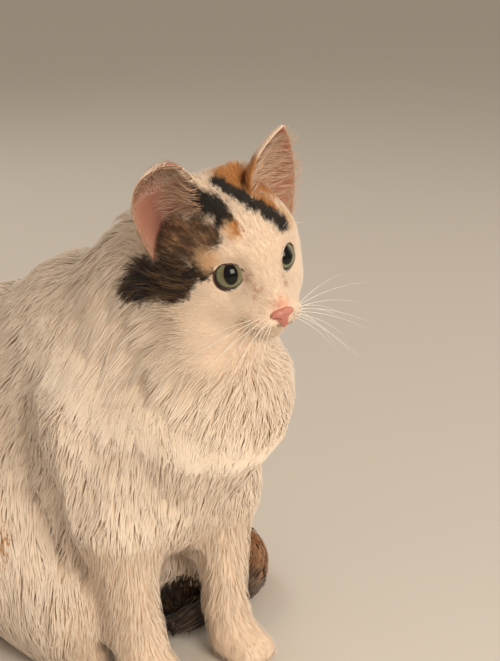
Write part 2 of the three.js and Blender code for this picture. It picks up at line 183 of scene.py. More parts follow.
# ---------------------------------------------------------------- markings
# A calico: a white coat with a dark tabby cheek, black and orange on the crown, an orange ear and
# a tabby tail. Skin and hair carry the same markings, laid out as egg-shaped spots with soft edges.
def maths(tree, operation, *values):
    """The result of a Math node."""
    made = tree.nodes.new("ShaderNodeMath")
    made.operation = operation
    for socket, value in zip(made.inputs, values):
        if isinstance(value, bpy.types.NodeSocket):
            tree.links.new(value, socket)
        else:
            socket.default_value = value
    return made.outputs[0]


def vector_maths(tree, operation, *values):
    """The result of a Vector Math node."""
    made = tree.nodes.new("ShaderNodeVectorMath")
    made.operation = operation
    for socket, value in zip(made.inputs, values):
        if isinstance(value, bpy.types.NodeSocket):
            tree.links.new(value, socket)
        else:
            socket.default_value = value
    return made.outputs["Value" if operation in ("LENGTH", "DOT_PRODUCT") else "Vector"]


def node_group(name, inputs, outputs):
    """An empty shader node group with these sockets."""
    made = bpy.data.node_groups.new(name, "ShaderNodeTree")
    for title, kind in inputs:
        made.interface.new_socket(title, in_out="INPUT", socket_type=f"NodeSocket{kind}")
    for title, kind in outputs:
        made.interface.new_socket(title, in_out="OUTPUT", socket_type=f"NodeSocket{kind}")
    return made, made.nodes.new("NodeGroupInput").outputs, made.nodes.new("NodeGroupOutput").inputs


def use_group(tree, group, **inputs):
    """A group placed in a tree."""
    made = tree.nodes.new("ShaderNodeGroup")
    made.node_tree = group
    for key, value in inputs.items():
        if isinstance(value, bpy.types.NodeSocket):
            tree.links.new(value, made.inputs[key])
        else:
            made.inputs[key].default_value = value
    return made.outputs


spot_group, spot_in, spot_out = node_group(
    "soft spot", (("Place", "Vector"), ("Middle", "Vector"), ("Reach", "Vector"), ("Edge", "Float")),
    (("Mask", "Float"),))
spot_off = vector_maths(spot_group, "SUBTRACT", spot_in["Place"], spot_in["Middle"])
spot_far = vector_maths(spot_group, "LENGTH", vector_maths(spot_group, "DIVIDE", spot_off, spot_in["Reach"]))
spot_soft = spot_group.nodes.new("ShaderNodeMapRange")
spot_soft.interpolation_type = "SMOOTHSTEP"
spot_group.links.new(spot_far, spot_soft.inputs["Value"])
spot_group.links.new(maths(spot_group, "SUBTRACT", 1.0, spot_in["Edge"]), spot_soft.inputs["From Max"])
spot_group.links.new(maths(spot_group, "ADD", 1.0, spot_in["Edge"]), spot_soft.inputs["From Min"])
spot_group.links.new(spot_soft.outputs["Result"], spot_out["Mask"])

WHITE_HAIR = (0.90, 0.80, 0.70)
CREAM_HAIR = (0.78, 0.56, 0.36)
ORANGE_HAIR = (0.56, 0.27, 0.09)
BLACK_HAIR = (0.018, 0.014, 0.012)
TABBY_DARK = (0.016, 0.011, 0.008)
TABBY_LIGHT = (0.21, 0.13, 0.072)
BROWN_DARK = (0.09, 0.055, 0.034)
BROWN_LIGHT = (0.44, 0.28, 0.17)
LIP_DARK = (0.24, 0.13, 0.095)
TEAR_STAIN = (0.66, 0.47, 0.37)
NOSE_BLUSH = (0.74, 0.44, 0.35)

# Spots on the head in its own axes, in millimetres: colour, softness, (middle, reach) of each egg.
# A later spot lies over an earlier one.
HEAD_SPOTS = (
    ("orange", 0.25, (((14, 33, 46), (16, 24, 13)), ((19, 10, 36), (8, 13, 9)),
                      ((30, 36, 38), (14, 16, 16)))),
    ("cream", 0.4, (((30, 6, 26), (7, 9, 9)),)),
    ("brown", 0.25, (((-35, 18, 22), (18, 18, 13)), ((-28, 8, 25), (9, 8, 9)),
                     ((-44, 32, 24), (18, 18, 17)))),
    ("tabby", 0.12, (((-62, 41, -5), (20, 17, 15)), ((-49, 24, -2), (20, 16, 15)),
                     ((-34, 9, 5), (9, 8, 7)))),
    ("tabby", 0.3, (((-27, 22, 43), (8, 12, 13)),)),
    ("black", 0.22, (((-15, 22, 40), (8, 18, 11)), ((-16, 6, 35), (7, 9, 8)), ((-23, 34, 44), (9, 12, 12)))),
    ("black", 0.22, (((1, 34, 45), (7, 12, 9)), ((4.5, 20, 43), (8, 13, 9)), ((9.5, 8, 39), (9.5, 10, 9)),
                     ((15, 1, 33), (9, 8, 9)), ((20, -2, 26), (8, 7, 8)))),
    ("cream", 0.5, (((-33, 3, 12), (7, 9, 8)), ((-16, 1, 28), (4, 6, 7)))),
    ("orange", 0.5, (((-13, 0, 31), (3.0, 5, 8)),)),
    ("white", 0.25, (((-4.5, 20, 41), (1.7, 24, 13)), ((-3.5, 2, 32), (4.5, 8, 9)),
                     ((-2, -8, 18), (11, 12, 14)))),
    ("pink", 0.8, (((0, -26, -16), (7, 5, 4.5)),)),
    ("tear", 0.8, (((-11.5, -6, -1), (3, 4, 4)), ((-10, -13, -8), (1.6, 4, 4)),
                   ((11.5, -6, -1), (3, 4, 4)), ((10, -13, -8), (1.6, 4, 4)))),
    ("lip", 0.45, (((0, -24, -31), (1.0, 4, 3)),
                   ((-3, -23, -31.6), (3, 3, 0.9)), ((3, -23, -31.6), (3, 3, 0.9)),
                   ((-9, -20, -32.6), (4, 4, 0.9)), ((9, -20, -32.6), (4, 4, 0.9)),
                   ((-15, -14, -33.1), (4, 6, 0.9)), ((15, -14, -33.1), (4, 6, 0.9)))),
    ("tear", 0.6, (((-20, -12, -26.2), (3, 4, 0.6)), ((-15, -19, -25.2), (3, 4, 0.6)),
                   ((20, -12, -26.2), (3, 4, 0.6)), ((15, -19, -25.2), (3, 4, 0.6)))),
)
HAIR_TONES = {
    "white": WHITE_HAIR, "cream": CREAM_HAIR, "orange": ORANGE_HAIR, "black": BLACK_HAIR,
    "pink": NOSE_BLUSH, "tear": TEAR_STAIN, "lip": LIP_DARK,
}

# Place is where the spots are looked up, Root where the fine streaks are, Tail how far it is tail.
calico, calico_in, calico_out = node_group(
    "calico markings", (("Place", "Vector"), ("Root", "Vector"), ("Tail", "Float")),
    (("Color", "Color"),))
to_head = node(calico, "ShaderNodeMapping", Vector=calico_in["Place"])
to_head.vector_type = "TEXTURE"
to_head.inputs["Location"].default_value = head_middle
to_head.inputs["Rotation"].default_value = head_turned.to_euler("XYZ")
in_millimetres = vector_maths(calico, "MULTIPLY", to_head.outputs[0], (1000.0, 1000.0, 1000.0))
HEAD_RAGGED = (11.0, 11.0, 11.0)
ragged = node(calico, "ShaderNodeTexNoise", Vector=in_millimetres, Scale=0.35, Detail=5.0)
ragged_by = vector_maths(calico, "SUBTRACT", ragged.outputs["Color"], (0.5, 0.5, 0.5))
head_place = vector_maths(calico, "ADD", in_millimetres,
                          vector_maths(calico, "MULTIPLY", ragged_by, HEAD_RAGGED))

STREAKS_PER_METRE = (1000.0, 450.0, 1300.0)
streaks = node(calico, "ShaderNodeTexNoise", Scale=0.22, Detail=6.0, Roughness=0.8,
               Vector=vector_maths(calico, "MULTIPLY", calico_in["Root"], STREAKS_PER_METRE))
streak_mask = node(calico, "ShaderNodeMapRange", Value=streaks.outputs["Fac"], From_Min=0.48, From_Max=0.64)
tabby_tone = mixed(calico, streak_mask.outputs[0], TABBY_DARK, TABBY_LIGHT)
brown_tone = mixed(calico, streak_mask.outputs[0], BROWN_DARK, BROWN_LIGHT)


def spots(tree, place, edge, eggs):
    """How far a place is inside any of these eggs."""
    total = 0.0
    for middle, reach in eggs:
        mask = use_group(tree, spot_group, Place=place, Middle=middle, Reach=reach, Edge=edge)["Mask"]
        total = maths(tree, "MAXIMUM", total, mask)
    return total


coat_tone = WHITE_HAIR
for tone, edge, eggs in HEAD_SPOTS:
    over = {"tabby": tabby_tone, "brown": brown_tone}.get(tone) or HAIR_TONES[tone]
    coat_tone = mixed(calico, spots(calico, head_place, edge, eggs), coat_tone, over)

# Patches on the body, in the row frame: orange on the right thigh and the left flank, dark tabby on
# the rump, and on the left hind foot painted shade in dark tabby, where the foot lies in the shade
# under the belly between the forelegs.
BODY_RAGGED = (0.06, 0.06, 0.06)
ragged_body = vector_maths(calico, "ADD", calico_in["Place"],
                           vector_maths(calico, "MULTIPLY", ragged_by, BODY_RAGGED))


def in_box(name, fractions):
    """A point of a node's box, from its lowest corner to its highest."""
    low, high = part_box(name)
    return tuple(a + (b - a) * f for a, b, f in zip(low, high, fractions))


for over, name, fractions, reach in (
    (ORANGE_HAIR, "thigh_right", (0.1, 0.43, 0.56), (0.032, 0.042, 0.030)),
    # painted shade: a dark tabby patch on the left hind foot, for the shade between the forelegs
    (tabby_tone, "hind_foot_left", (0.3, 0.3, 0.6), (0.030, 0.035, 0.030)),
    (tabby_tone, "loins", (0.6, 1.0, 0.35), (0.050, 0.045, 0.060)),
    (ORANGE_HAIR, "loins", (0.95, 0.75, 0.7), (0.035, 0.050, 0.040)),
):
    mask = spots(calico, ragged_body, 0.12, ((in_box(name, fractions), reach),))
    coat_tone = mixed(calico, mask, coat_tone, over)

# The tail is dark tabby, with a rusty stretch where it comes round the left foreleg.
RUST_DARK = (0.30, 0.13, 0.045)
RUST_LIGHT = (0.56, 0.28, 0.11)
rust_place = in_box("tail_middle", (0.5, 0.3, 0.5))
tail_rust = spots(calico, ragged_body, 0.3, ((rust_place, (0.05, 0.06, 0.06)),))
rust_tone = mixed(calico, streak_mask.outputs[0], RUST_DARK, RUST_LIGHT)
tail_tone = mixed(calico, tail_rust, tabby_tone, rust_tone)
coat_tone = mixed(calico, calico_in["Tail"], coat_tone, tail_tone)
calico.links.new(coat_tone, calico_out["Color"])


# ---------------------------------------------------------------- skin
# One hide covers all the flesh without a seam. It is made from the solids of the flesh, which are
# run together, taken in by the depth of the coat and smoothed. Mouth and lids are cut in it.
EYE_NODES = ("eye_left", "eye_right")
EAR_NODES = ("ear_left", "ear_right")
FLESH = [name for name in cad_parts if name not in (*EYE_NODES, "nose")]
VOXEL = 0.0012
MARGIN = 0.008
GRID_LOW = np.array(cad_low) - MARGIN
GRID_SHAPE = tuple(np.ceil((np.array(cad_high) + MARGIN - GRID_LOW) / VOXEL).astype(int))


def soup(name):
    """The triangles of a node of the frame, measured from the grid's corner."""
    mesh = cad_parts[name].data
    mesh.calc_loop_triangles()
    points = np.empty(len(mesh.vertices) * 3, np.float32)
    mesh.vertices.foreach_get("co", points)
    corners = np.empty(len(mesh.loop_triangles) * 3, np.int32)
    mesh.loop_triangles.foreach_get("vertices", corners)
    return points.reshape(-1, 3) - GRID_LOW.astype(np.float32), corners.reshape(-1, 3).astype(np.uint32)


def distances(points, triangles, quads, voxel, shape, outside, inside):
    """Signed distance from a closed surface on a grid, as far as some voxels out and in."""
    transform = vdb.createLinearTransform(voxel)
    grid = vdb.FloatGrid.createLevelSetFromPolygons(
        points, triangles=triangles, quads=quads, transform=transform,
        exBandWidth=float(outside), inBandWidth=float(inside))
    values = np.empty(shape, np.float32)
    grid.copyToArray(values, ijk=(0, 0, 0))
    return values


def surface(values, level, voxel):
    """The surface where the grid's values pass a level."""
    grid = vdb.FloatGrid(float(values.max()))
    grid.transform = vdb.createLinearTransform(voxel)
    grid.copyFromArray(values)
    return grid.convertToPolygons(isovalue=level, adaptivity=0.0)


def sample(values, voxel, points):
    """The grid's value at points of the row frame, interpolated between the voxels."""
    at = np.clip((points - GRID_LOW) / voxel, 0, np.array(values.shape) - 1.001)
    low = at.astype(int)
    part = at - low
    total = 0
    for corner in np.ndindex(2, 2, 2):
        weight = np.prod(np.where(corner, part, 1 - part), axis=1)
        total = total + weight * values[tuple((low + corner).T)]
    return total


def stretched(values, shape, scale):
    """A coarse grid's values on a finer grid."""
    for axis in range(3):
        at = np.clip(np.arange(shape[axis]) * scale, 0, values.shape[axis] - 1.001)
        low = at.astype(int)
        part = (at - low).astype(np.float32).reshape([-1 if a == axis else 1 for a in range(3)])
        values = np.take(values, low, axis) * (1 - part) + np.take(values, low + 1, axis) * part
    return values


# The solids are closed over their joins by SEAL, and the inside is known as deep as any coat.
SEAL = 0.0004
DEEPEST_COAT = 0.024
BAND_VOXELS = 3
OUTSIDE_VOXELS = 6


def node_distances(name, outside, inside):
    """Signed distance from a node of the frame."""
    points, triangles = soup(name)
    return distances(points, triangles, None, VOXEL, GRID_SHAPE, outside, inside)


sealed = np.full(GRID_SHAPE, BAND_VOXELS * VOXEL, np.float32)
for name in (*FLESH, "nose", *EYE_NODES):
    if name not in EAR_NODES:
        np.minimum(sealed, node_distances(name, BAND_VOXELS, BAND_VOXELS), out=sealed)
outline_points, outline_triangles, outline_quads = surface(sealed, SEAL, VOXEL)
outline = distances(outline_points, outline_triangles, outline_quads, VOXEL, GRID_SHAPE,
                    OUTSIDE_VOXELS, DEEPEST_COAT / VOXEL) + SEAL

# How near each point is to each part of the body, on a coarse grid.
NEAR_VOXEL = 0.005
NEAR_OUTSIDE = 12
NEAR_INSIDE = 6
NEAR_SHAPE = tuple(np.ceil(np.array(GRID_SHAPE) * VOXEL / NEAR_VOXEL).astype(int) + 1)
near = {}
for name in FLESH:
    points, triangles = soup(name)
    near[name] = distances(points, triangles, None, NEAR_VOXEL, NEAR_SHAPE,
                           NEAR_OUTSIDE, NEAR_INSIDE)

# The cheeks are deeper in hair than the rest of the head, and the tail's tip is thinly covered.
COAT_DEPTH = {
    "ear": 0.0030, "jaw": 0.0016, "face": 0.0014, "head": 0.0022, "neck": 0.012,
    "forepaw": 0.0022, "foreleg": 0.0035, "hind_foot": 0.0030, "thigh": 0.0052,
    "chest": 0.0056, "loins": 0.0056, "tail": 0.008,
}
CHEEK_DEPTH = 0.0040
TAIL_TIP_DEPTH = 0.0045
BLEND = 0.007


def kind_of(name):
    """The part of the body that a node is, without its side."""
    return "tail" if name.startswith("tail") else name.replace("_left", "").replace("_right", "")


def shag(points):
    """How long-haired the head is: none at the brow and muzzle, all at the back of the cheeks."""
    _, y, z = in_head(points).T * 1000
    cheek = np.clip((y - 12) / 45, 0, 1) * np.clip((22 - z) / 30, 0, 1)
    throat = np.clip((-46 - z) / 14, 0, 1)
    return np.clip(cheek + throat + 0.5 * np.clip((y - 50) / 30, 0, 1), 0, 1)


near_points = np.stack(np.meshgrid(*(np.arange(count) * NEAR_VOXEL + low for count, low in
                                     zip(NEAR_SHAPE, GRID_LOW)), indexing="ij"), axis=-1)
near_shag = shag(near_points.reshape(-1, 3)).reshape(NEAR_SHAPE)
total_weight = 0
total_depth = 0
for name in FLESH:
    weight = np.exp(-((np.maximum(near[name], 0) / BLEND) ** 2)) + 1e-9
    total_weight = total_weight + weight
    depth = COAT_DEPTH[kind_of(name)]
    if name == "head":
        depth = depth + CHEEK_DEPTH * near_shag
    if name == "tail_tip":
        depth = TAIL_TIP_DEPTH
    total_depth = total_depth + weight * depth
coat_depth = (total_depth / total_weight).astype(np.float32)
hide = outline + stretched(coat_depth, GRID_SHAPE, VOXEL / NEAR_VOXEL)
for name in EAR_NODES:
    np.minimum(outline, node_distances(name, OUTSIDE_VOXELS, BAND_VOXELS), out=outline)

# A groove is the mouth, and a lid wraps each eyeball. Their sizes are in millimetres, in the head's
# axes; the mouth's line runs from under the nose to one corner, and is mirrored for the other.
MOUTH_GROOVE = 1.5
MOUTH_LINE = ((0, -26.5, -29.5), (0, -24.0, -31.2), (5, -22.6, -31.9), (11, -18.2, -32.9),
              (18.5, -9.5, -33.2))
MOUTH_MIDDLE = (0, -17, -32)
MOUTH_REACH = 26
EYE_MIDDLE = (18.05, 4.6, 0)
EYE_TURN = 0.49
LID_BALL = 11.6
LID_OPENING = 9.2
LID_REACH = 14


def from_mouth(points):
    """The distance from the line of the mouth, in millimetres, in the head's axes."""
    folded = points * (-1, 1, 1) * np.where(points[..., :1] < 0, 1, -1)
    folded[..., 0] = np.abs(points[..., 0])
    nearest = np.full(points.shape[:-1], 1e9)
    for a, b in zip(np.array(MOUTH_LINE, float), np.array(MOUTH_LINE[1:], float)):
        t = np.clip(((folded - a) @ (b - a)) / ((b - a) @ (b - a)), 0, 1)[..., None]
        nearest = np.minimum(nearest, np.linalg.norm(folded - a - t * (b - a), axis=-1))
    return nearest


def in_eye(points, out):
    """How far each point is along an eye's outward axis and off it, in the head's axes."""
    off = points - np.array(EYE_MIDDLE) * (out, 1, 1)
    along = off @ np.array((out * math.sin(EYE_TURN), -math.cos(EYE_TURN), 0))
    return along, np.sqrt(np.maximum((off ** 2).sum(-1) - along ** 2, 0))


def lid(points, out):
    """The distance from a lid: a ball round the eye with a round opening in front."""
    along, off = in_eye(points, out)
    return np.maximum(np.hypot(along, off) - LID_BALL, np.where(along > 0, LID_OPENING - off, -LID_BALL))


def carved(middle, reach, take, keep=np.maximum):
    """The hide is changed by take within a box round middle; take gets points in the head's axes."""
    low = np.floor((from_head(np.array(middle) / 1000) - reach / 1000 - GRID_LOW) / VOXEL).astype(int)
    count = int(2 * reach / 1000 / VOXEL)
    block = tuple(slice(max(a, 0), a + count) for a in low)
    index = np.stack(np.meshgrid(*(np.arange(b.start, min(b.stop, n)) for b, n in zip(block, GRID_SHAPE)),
                                 indexing="ij"), axis=-1)
    hide[block] = keep(hide[block], take(in_head(index * VOXEL + GRID_LOW) * 1000) / 1000)


carved(MOUTH_MIDDLE, MOUTH_REACH, lambda points: MOUTH_GROOVE - from_mouth(points))
for out in (-1, 1):
    carved(np.array(EYE_MIDDLE) * (out, 1, 1), LID_REACH, lambda points: lid(points, out), np.minimum)
skin_points, skin_triangles, skin_quads = surface(hide, 0.0, VOXEL)
skin_points = skin_points.astype(float) + GRID_LOW


def read(collection, field, width, kind=float):
    """A field of a mesh's parts, as an array."""
    values = np.empty(len(collection) * width, kind)
    collection.foreach_get(field, values)
    return values.reshape(-1, width) if width > 1 else values


def read_points(mesh):
    """A mesh's points and its triangles."""
    return read(mesh.vertices, "co", 3), read(mesh.polygons, "vertices", 3, np.int32)


def neighbours_mean(points, edges):
    """The mean of each point's neighbours."""
    counts = np.bincount(edges.ravel(), minlength=len(points))[:, None]
    total = np.stack([
        np.bincount(edges[:, 0], points[edges[:, 1], a], len(points))
        + np.bincount(edges[:, 1], points[edges[:, 0], a], len(points)) for a in range(3)], axis=1)
    return total / np.maximum(counts, 1)


# Smoothing out the facets: a step in and a step out again, so that nothing shrinks.
SMOOTH_ROUNDS = 14
SMOOTH_IN = 0.6
SMOOTH_OUT = -0.62
face_edges = np.concatenate([skin_quads[:, [a, (a + 1) % 4]] for a in range(4)]
                            + [skin_triangles[:, [a, (a + 1) % 3]] for a in range(3)])
skin_edges = np.unique(np.sort(face_edges.astype(int), axis=1), axis=0)
for turn in range(SMOOTH_ROUNDS):
    for step in (SMOOTH_IN, SMOOTH_OUT):
        skin_points += step * (neighbours_mean(skin_points, skin_edges) - skin_points)

SKIN_TRIANGLES = 150000
rough = piece("rough skin", skin_points, skin_quads.tolist() + skin_triangles.tolist())
thinning = rough.modifiers.new("thinning", "DECIMATE")
thinning.ratio = SKIN_TRIANGLES / (2 * len(skin_quads) + len(skin_triangles))
thinning.use_collapse_triangulate = True
bpy.context.view_layer.update()
skin_mesh = bpy.data.meshes.new_from_object(rough.evaluated_get(bpy.context.evaluated_depsgraph_get()))
bpy.data.objects.remove(rough)

# The ears are fine cupped leaves of the same hide, rooted well inside the head. A rim goes from
# its foot in a bow to the tip; all is in millimetres in the head's axes.
EAR_RIMS = {
    "left": (((16, 23, 28), (6, 25, 54)), (43, 27, 72.5), ((49, 35, 6), (58, 34, 44))),
    "right": (((-19, 24, 28), (-23, 15, 69)), (-43.5, 22, 70.5), ((-51, 38, 8), (-78, 35, 66))),
}
EAR_DEPTH = 17
EAR_BREADTH = 44
EAR_HALF = 0.75
EAR_FORWARD = 0.35
EAR_ROWS = 44
EAR_COLUMNS = 36
EAR_ROOT = -0.22
EAR_TIP = 0.99
EAR_STEP = 0.02


def ear_sheet(side, t, s):
    """The middle of an ear's leaf, t up from its foot and s from its inner to its outer edge."""
    (inner_foot, inner_bow), tip, (outer_foot, outer_bow) = (np.array(part, float) for part in EAR_RIMS[side])
    t, s = t[..., None], s[..., None]
    inner = (1 - t) ** 2 * inner_foot + 2 * t * (1 - t) * inner_bow + t ** 2 * tip
    outer = (1 - t) ** 2 * outer_foot + 2 * t * (1 - t) * outer_bow + t ** 2 * tip
    across = outer - inner
    behind = np.cross(across, tip - (inner_foot + outer_foot) / 2)
    behind /= np.linalg.norm(behind, axis=-1)[..., None] + 1e-9
    behind *= np.sign(behind[..., 1:2])
    cup = np.sin(np.pi * np.clip(s, 0, 1)) ** 0.8
    depth = EAR_DEPTH * cup * np.linalg.norm(across, axis=-1)[..., None] / EAR_BREADTH
    return inner + across * s + behind * depth


def ear_shell(side):
    """The points and faces of an ear, and how far up, across and in front each point is."""
    t, s = np.meshgrid(np.linspace(EAR_ROOT, EAR_TIP, EAR_ROWS), np.linspace(0, 1, EAR_COLUMNS),
                       indexing="ij")
    middle = ear_sheet(side, t, s)
    t_low = np.minimum(t, 0.95) - EAR_STEP / 2
    s_low = np.clip(s, 0.02, 0.96) - EAR_STEP / 2
    rise = ear_sheet(side, t_low + EAR_STEP, s_low) - ear_sheet(side, t_low, s_low)
    over = ear_sheet(side, t_low, s_low + EAR_STEP) - ear_sheet(side, t_low, s_low)
    normal = np.cross(rise, over)
    normal /= np.linalg.norm(normal, axis=-1)[..., None]
    normal *= np.sign(normal[..., 1:2])
    half = EAR_HALF * np.sqrt(1 - np.abs(2 * s - 1) ** 8 * 0.97)[..., None]
    front = middle - normal * (half + EAR_FORWARD)
    back = middle + normal * (half - EAR_FORWARD)
    loop = np.concatenate([front, back[:, ::-1]], axis=1)
    marks = np.concatenate([np.stack([t, s, np.ones_like(t)], -1),
                            np.stack([t, s, np.zeros_like(t)], -1)[:, ::-1]], axis=1)
    points = np.concatenate([loop.reshape(-1, 3), loop[0].mean(0)[None], loop[-1].mean(0)[None]])
    marks = np.concatenate([marks.reshape(-1, 3), [[EAR_ROOT, 0.5, 0], [1, 0.5, 1]]])
    ring = 2 * EAR_COLUMNS
    faces = []
    for i in range(EAR_ROWS - 1):
        for j in range(ring):
            a, b = i * ring + j, i * ring + (j + 1) % ring
            faces += [(a, b, b + ring), (a, b + ring, a + ring)]
    for j in range(ring):
        k, top = (j + 1) % ring, (EAR_ROWS - 1) * ring
        faces += [(k, j, len(points) - 2), (top + j, top + k, len(points) - 1)]
    faces = np.array(faces)
    if side == "right":
        faces = faces[:, ::-1]
    return from_head(points / 1000), faces, marks


body_points, body_faces = read_points(skin_mesh)
ear_marks = [np.tile((-1.0, 0.5, 0.0), (len(body_points), 1))]
all_points, all_faces = [body_points], [body_faces]
for side in ("left", "right"):
    points, faces, marks = ear_shell(side)
    all_faces.append(faces + sum(len(part) for part in all_points))
    all_points.append(points)
    ear_marks.append(marks)
ear_up, ear_across, ear_front = np.concatenate(ear_marks).T
bpy.data.meshes.remove(skin_mesh)
skin = piece("skin", np.concatenate(all_points), np.concatenate(all_faces))
skin_mesh = skin.data

bpy.context.view_layer.objects.active = skin
skin.select_set(True)
bpy.ops.object.mode_set(mode="EDIT")
bpy.ops.mesh.select_all(action="SELECT")
bpy.ops.uv.smart_project(angle_limit=math.radians(66), island_margin=0.002)
bpy.ops.object.mode_set(mode="OBJECT")
skin.select_set(False)
skin_mesh.uv_layers[0].name = "OFBake"

hide_points = read(skin_mesh.vertices, "co", 3)
hide_normals = read(skin_mesh.vertices, "normal", 3)
hide_faces = read(skin_mesh.polygons, "vertices", 3, np.int32)
hide_areas = read(skin_mesh.polygons, "area", 1)
hide_map = read(skin_mesh.uv_layers[0].uv, "vector", 2).reshape(-1, 3, 2)


# ---------------------------------------------------------------- lie of the coat
# The coat grows back from the nose over the head, and from there down and back over the body,
# forward over the feet and out along the tail. Its length, breadth and lift change with the part.
KINDS = sorted({kind_of(name) for name in FLESH})
share = {name: np.exp(-((np.maximum(sample(near[name], NEAR_VOXEL, hide_points), 0) / BLEND) ** 2)) + 1e-9
         for name in FLESH}
share_total = sum(share.values())
share = {name: value / share_total for name, value in share.items()}
kind_share = {kind: sum(share[name] for name in FLESH if kind_of(name) == kind) for kind in KINDS}
head_points = in_head(hide_points)

# For each part: places in its box, from its low right front corner to its high left back one, and
# which way the hair lies there.
LIE = {
    "neck": (((0.5, 1.0, 0.8), (0, 0.8, -0.6)), ((0.6, 0.0, 0.3), (0, -0.3, -1)),
             ((0.0, 0.5, 0.5), (-0.3, 0.3, -1)), ((1.0, 0.5, 0.5), (0.3, 0.2, -1))),
    "chest": (((0.5, 0.0, 0.5), (0, -0.05, -1)), ((0.0, 0.4, 0.5), (-0.05, 0.35, -1)),
              ((1.0, 0.4, 0.5), (0.05, 0.35, -1)), ((0.5, 1.0, 1.0), (0, 0.75, -0.6))),
    "loins": (((0.5, 0.2, 1.0), (0, 0.7, -0.7)), ((0.5, 1.0, 0.5), (0, 0.3, -1)),
              ((0.0, 0.5, 0.4), (-0.1, 0.5, -0.85)), ((1.0, 0.5, 0.4), (0.1, 0.5, -0.85))),
    "thigh": (((0.5, 0.0, 0.4), (0, -0.45, -0.9)), ((0.5, 0.5, 0.7), (0, 0.1, -1)),
              ((0.5, 1.0, 0.3), (0, 0.5, -0.85))),
    "foreleg": (((0.5, 0.0, 0.5), (0, -0.08, -1)), ((0.5, 1.0, 0.5), (0, 0.25, -1))),
    "forepaw": (((0.5, 1.0, 1.0), (0, -0.5, -0.8)), ((0.5, 0.0, 0.5), (0, -0.8, -0.6))),
    "hind_foot": (((0.5, 0.5, 1.0), (0, -1, -0.2)),),
    "tail_root": (((0.1, 0.9, 0.5), (1, 0.1, 0)), ((0.75, 0.85, 0.5), (0.8, -0.6, 0)),
                  ((0.95, 0.2, 0.5), (0.15, -1, 0))),
    "tail_middle": (((0.8, 0.8, 0.5), (0.1, -1, 0)), ((0.7, 0.2, 0.5), (-0.35, -1, 0))),
    "tail_tip": (((0.9, 0.7, 0.5), (-0.8, -0.6, 0)), ((0.4, 0.4, 0.5), (-1, -0.3, 0)),
                 ((0.0, 0.3, 0.5), (-1, -0.1, 0))),
    "ear_left": (((0.5, 0.5, 0.5), tuple(HEAD_AXES @ (0.3, 0.1, 1))),),
    "ear_right": (((0.5, 0.5, 0.5), tuple(HEAD_AXES @ (-0.3, 0.1, 1))),),
}
LIE_REACH = 0.45
NOSE_TIP = np.array((0, -0.027, -0.024))
lie = np.zeros_like(hide_points)
for name in FLESH:
    guides = LIE.get(name, LIE.get(kind_of(name)))
    if guides:
        low, high = (np.array(corner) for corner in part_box(name))
        pull = 0
        weight_sum = 1e-9
        for place, way in guides:
            off = (hide_points - (low + (high - low) * place)) / np.linalg.norm(high - low)
            weight = np.exp(-(off ** 2).sum(1) / LIE_REACH ** 2)[:, None]
            pull = pull + weight * (np.array(way) / np.linalg.norm(way))
            weight_sum = weight_sum + weight
        way_here = pull / weight_sum
    else:
        way_here = (head_points - NOSE_TIP) @ HEAD_AXES.T
        way_here /= np.linalg.norm(way_here, axis=1)[:, None]
    lie += share[name][:, None] * way_here


def on_surface(ways, normals):
    """Directions laid flat on the surface."""
    flat = ways - (ways * normals).sum(1)[:, None] * normals
    return flat / (np.linalg.norm(flat, axis=1)[:, None] + 1e-9)


# How long and how broad the tufts are on each part.
COAT_LENGTH = {
    "ear": 0.0045, "jaw": 0.0034, "face": 0.0038, "head": 0.0052, "neck": 0.030, "forepaw": 0.006,
    "foreleg": 0.012, "hind_foot": 0.008, "thigh": 0.024, "chest": 0.026, "loins": 0.026, "tail": 0.030,
}
COAT_BREADTH = {
    "ear": 0.0004, "jaw": 0.0004, "face": 0.00036, "head": 0.00045, "neck": 0.0014, "forepaw": 0.0006,
    "foreleg": 0.0010, "hind_foot": 0.0009, "thigh": 0.0025, "chest": 0.0025, "loins": 0.0026,
    "tail": 0.0018,
}
coat_length = sum(kind_share[kind] * COAT_LENGTH[kind] for kind in KINDS)
coat_breadth = sum(kind_share[kind] * COAT_BREADTH[kind] for kind in KINDS)
coat_rise = sample(coat_depth, NEAR_VOXEL, hide_points)

# The hair is longest in the ruff down the front of the neck and at the back of the cheeks, and
# shortest about the nose and the lips.
CHEEK_LONGER = 0.013
CHEEK_BROADER = 0.0006
RUFF_LONGER = 0.024
RUFF_BROADER = 0.0004
MUZZLE_SHORTER = 0.5
LIPS_SHORTER = 0.5
EAR_RISE = 0.0009
cheek_shag = shag(hide_points)
ruff = kind_share["neck"] * np.clip((-0.030 - hide_points[:, 1]) / 0.045, 0, 1)
coat_length += RUFF_LONGER * ruff
coat_breadth += RUFF_BROADER * ruff
coat_length += kind_share["head"] * CHEEK_LONGER * cheek_shag
coat_breadth += kind_share["head"] * CHEEK_BROADER * cheek_shag
from_nose = np.linalg.norm(head_points - NOSE_TIP, axis=1)
coat_length *= 1 - MUZZLE_SHORTER * np.clip(1.4 - from_nose / 0.018, 0, 1)
coat_length *= 1 - LIPS_SHORTER * np.clip(1.6 - from_mouth(head_points * 1000) / 4, 0, 1)
coat_rise = np.where(ear_up > -1, EAR_RISE, coat_rise)

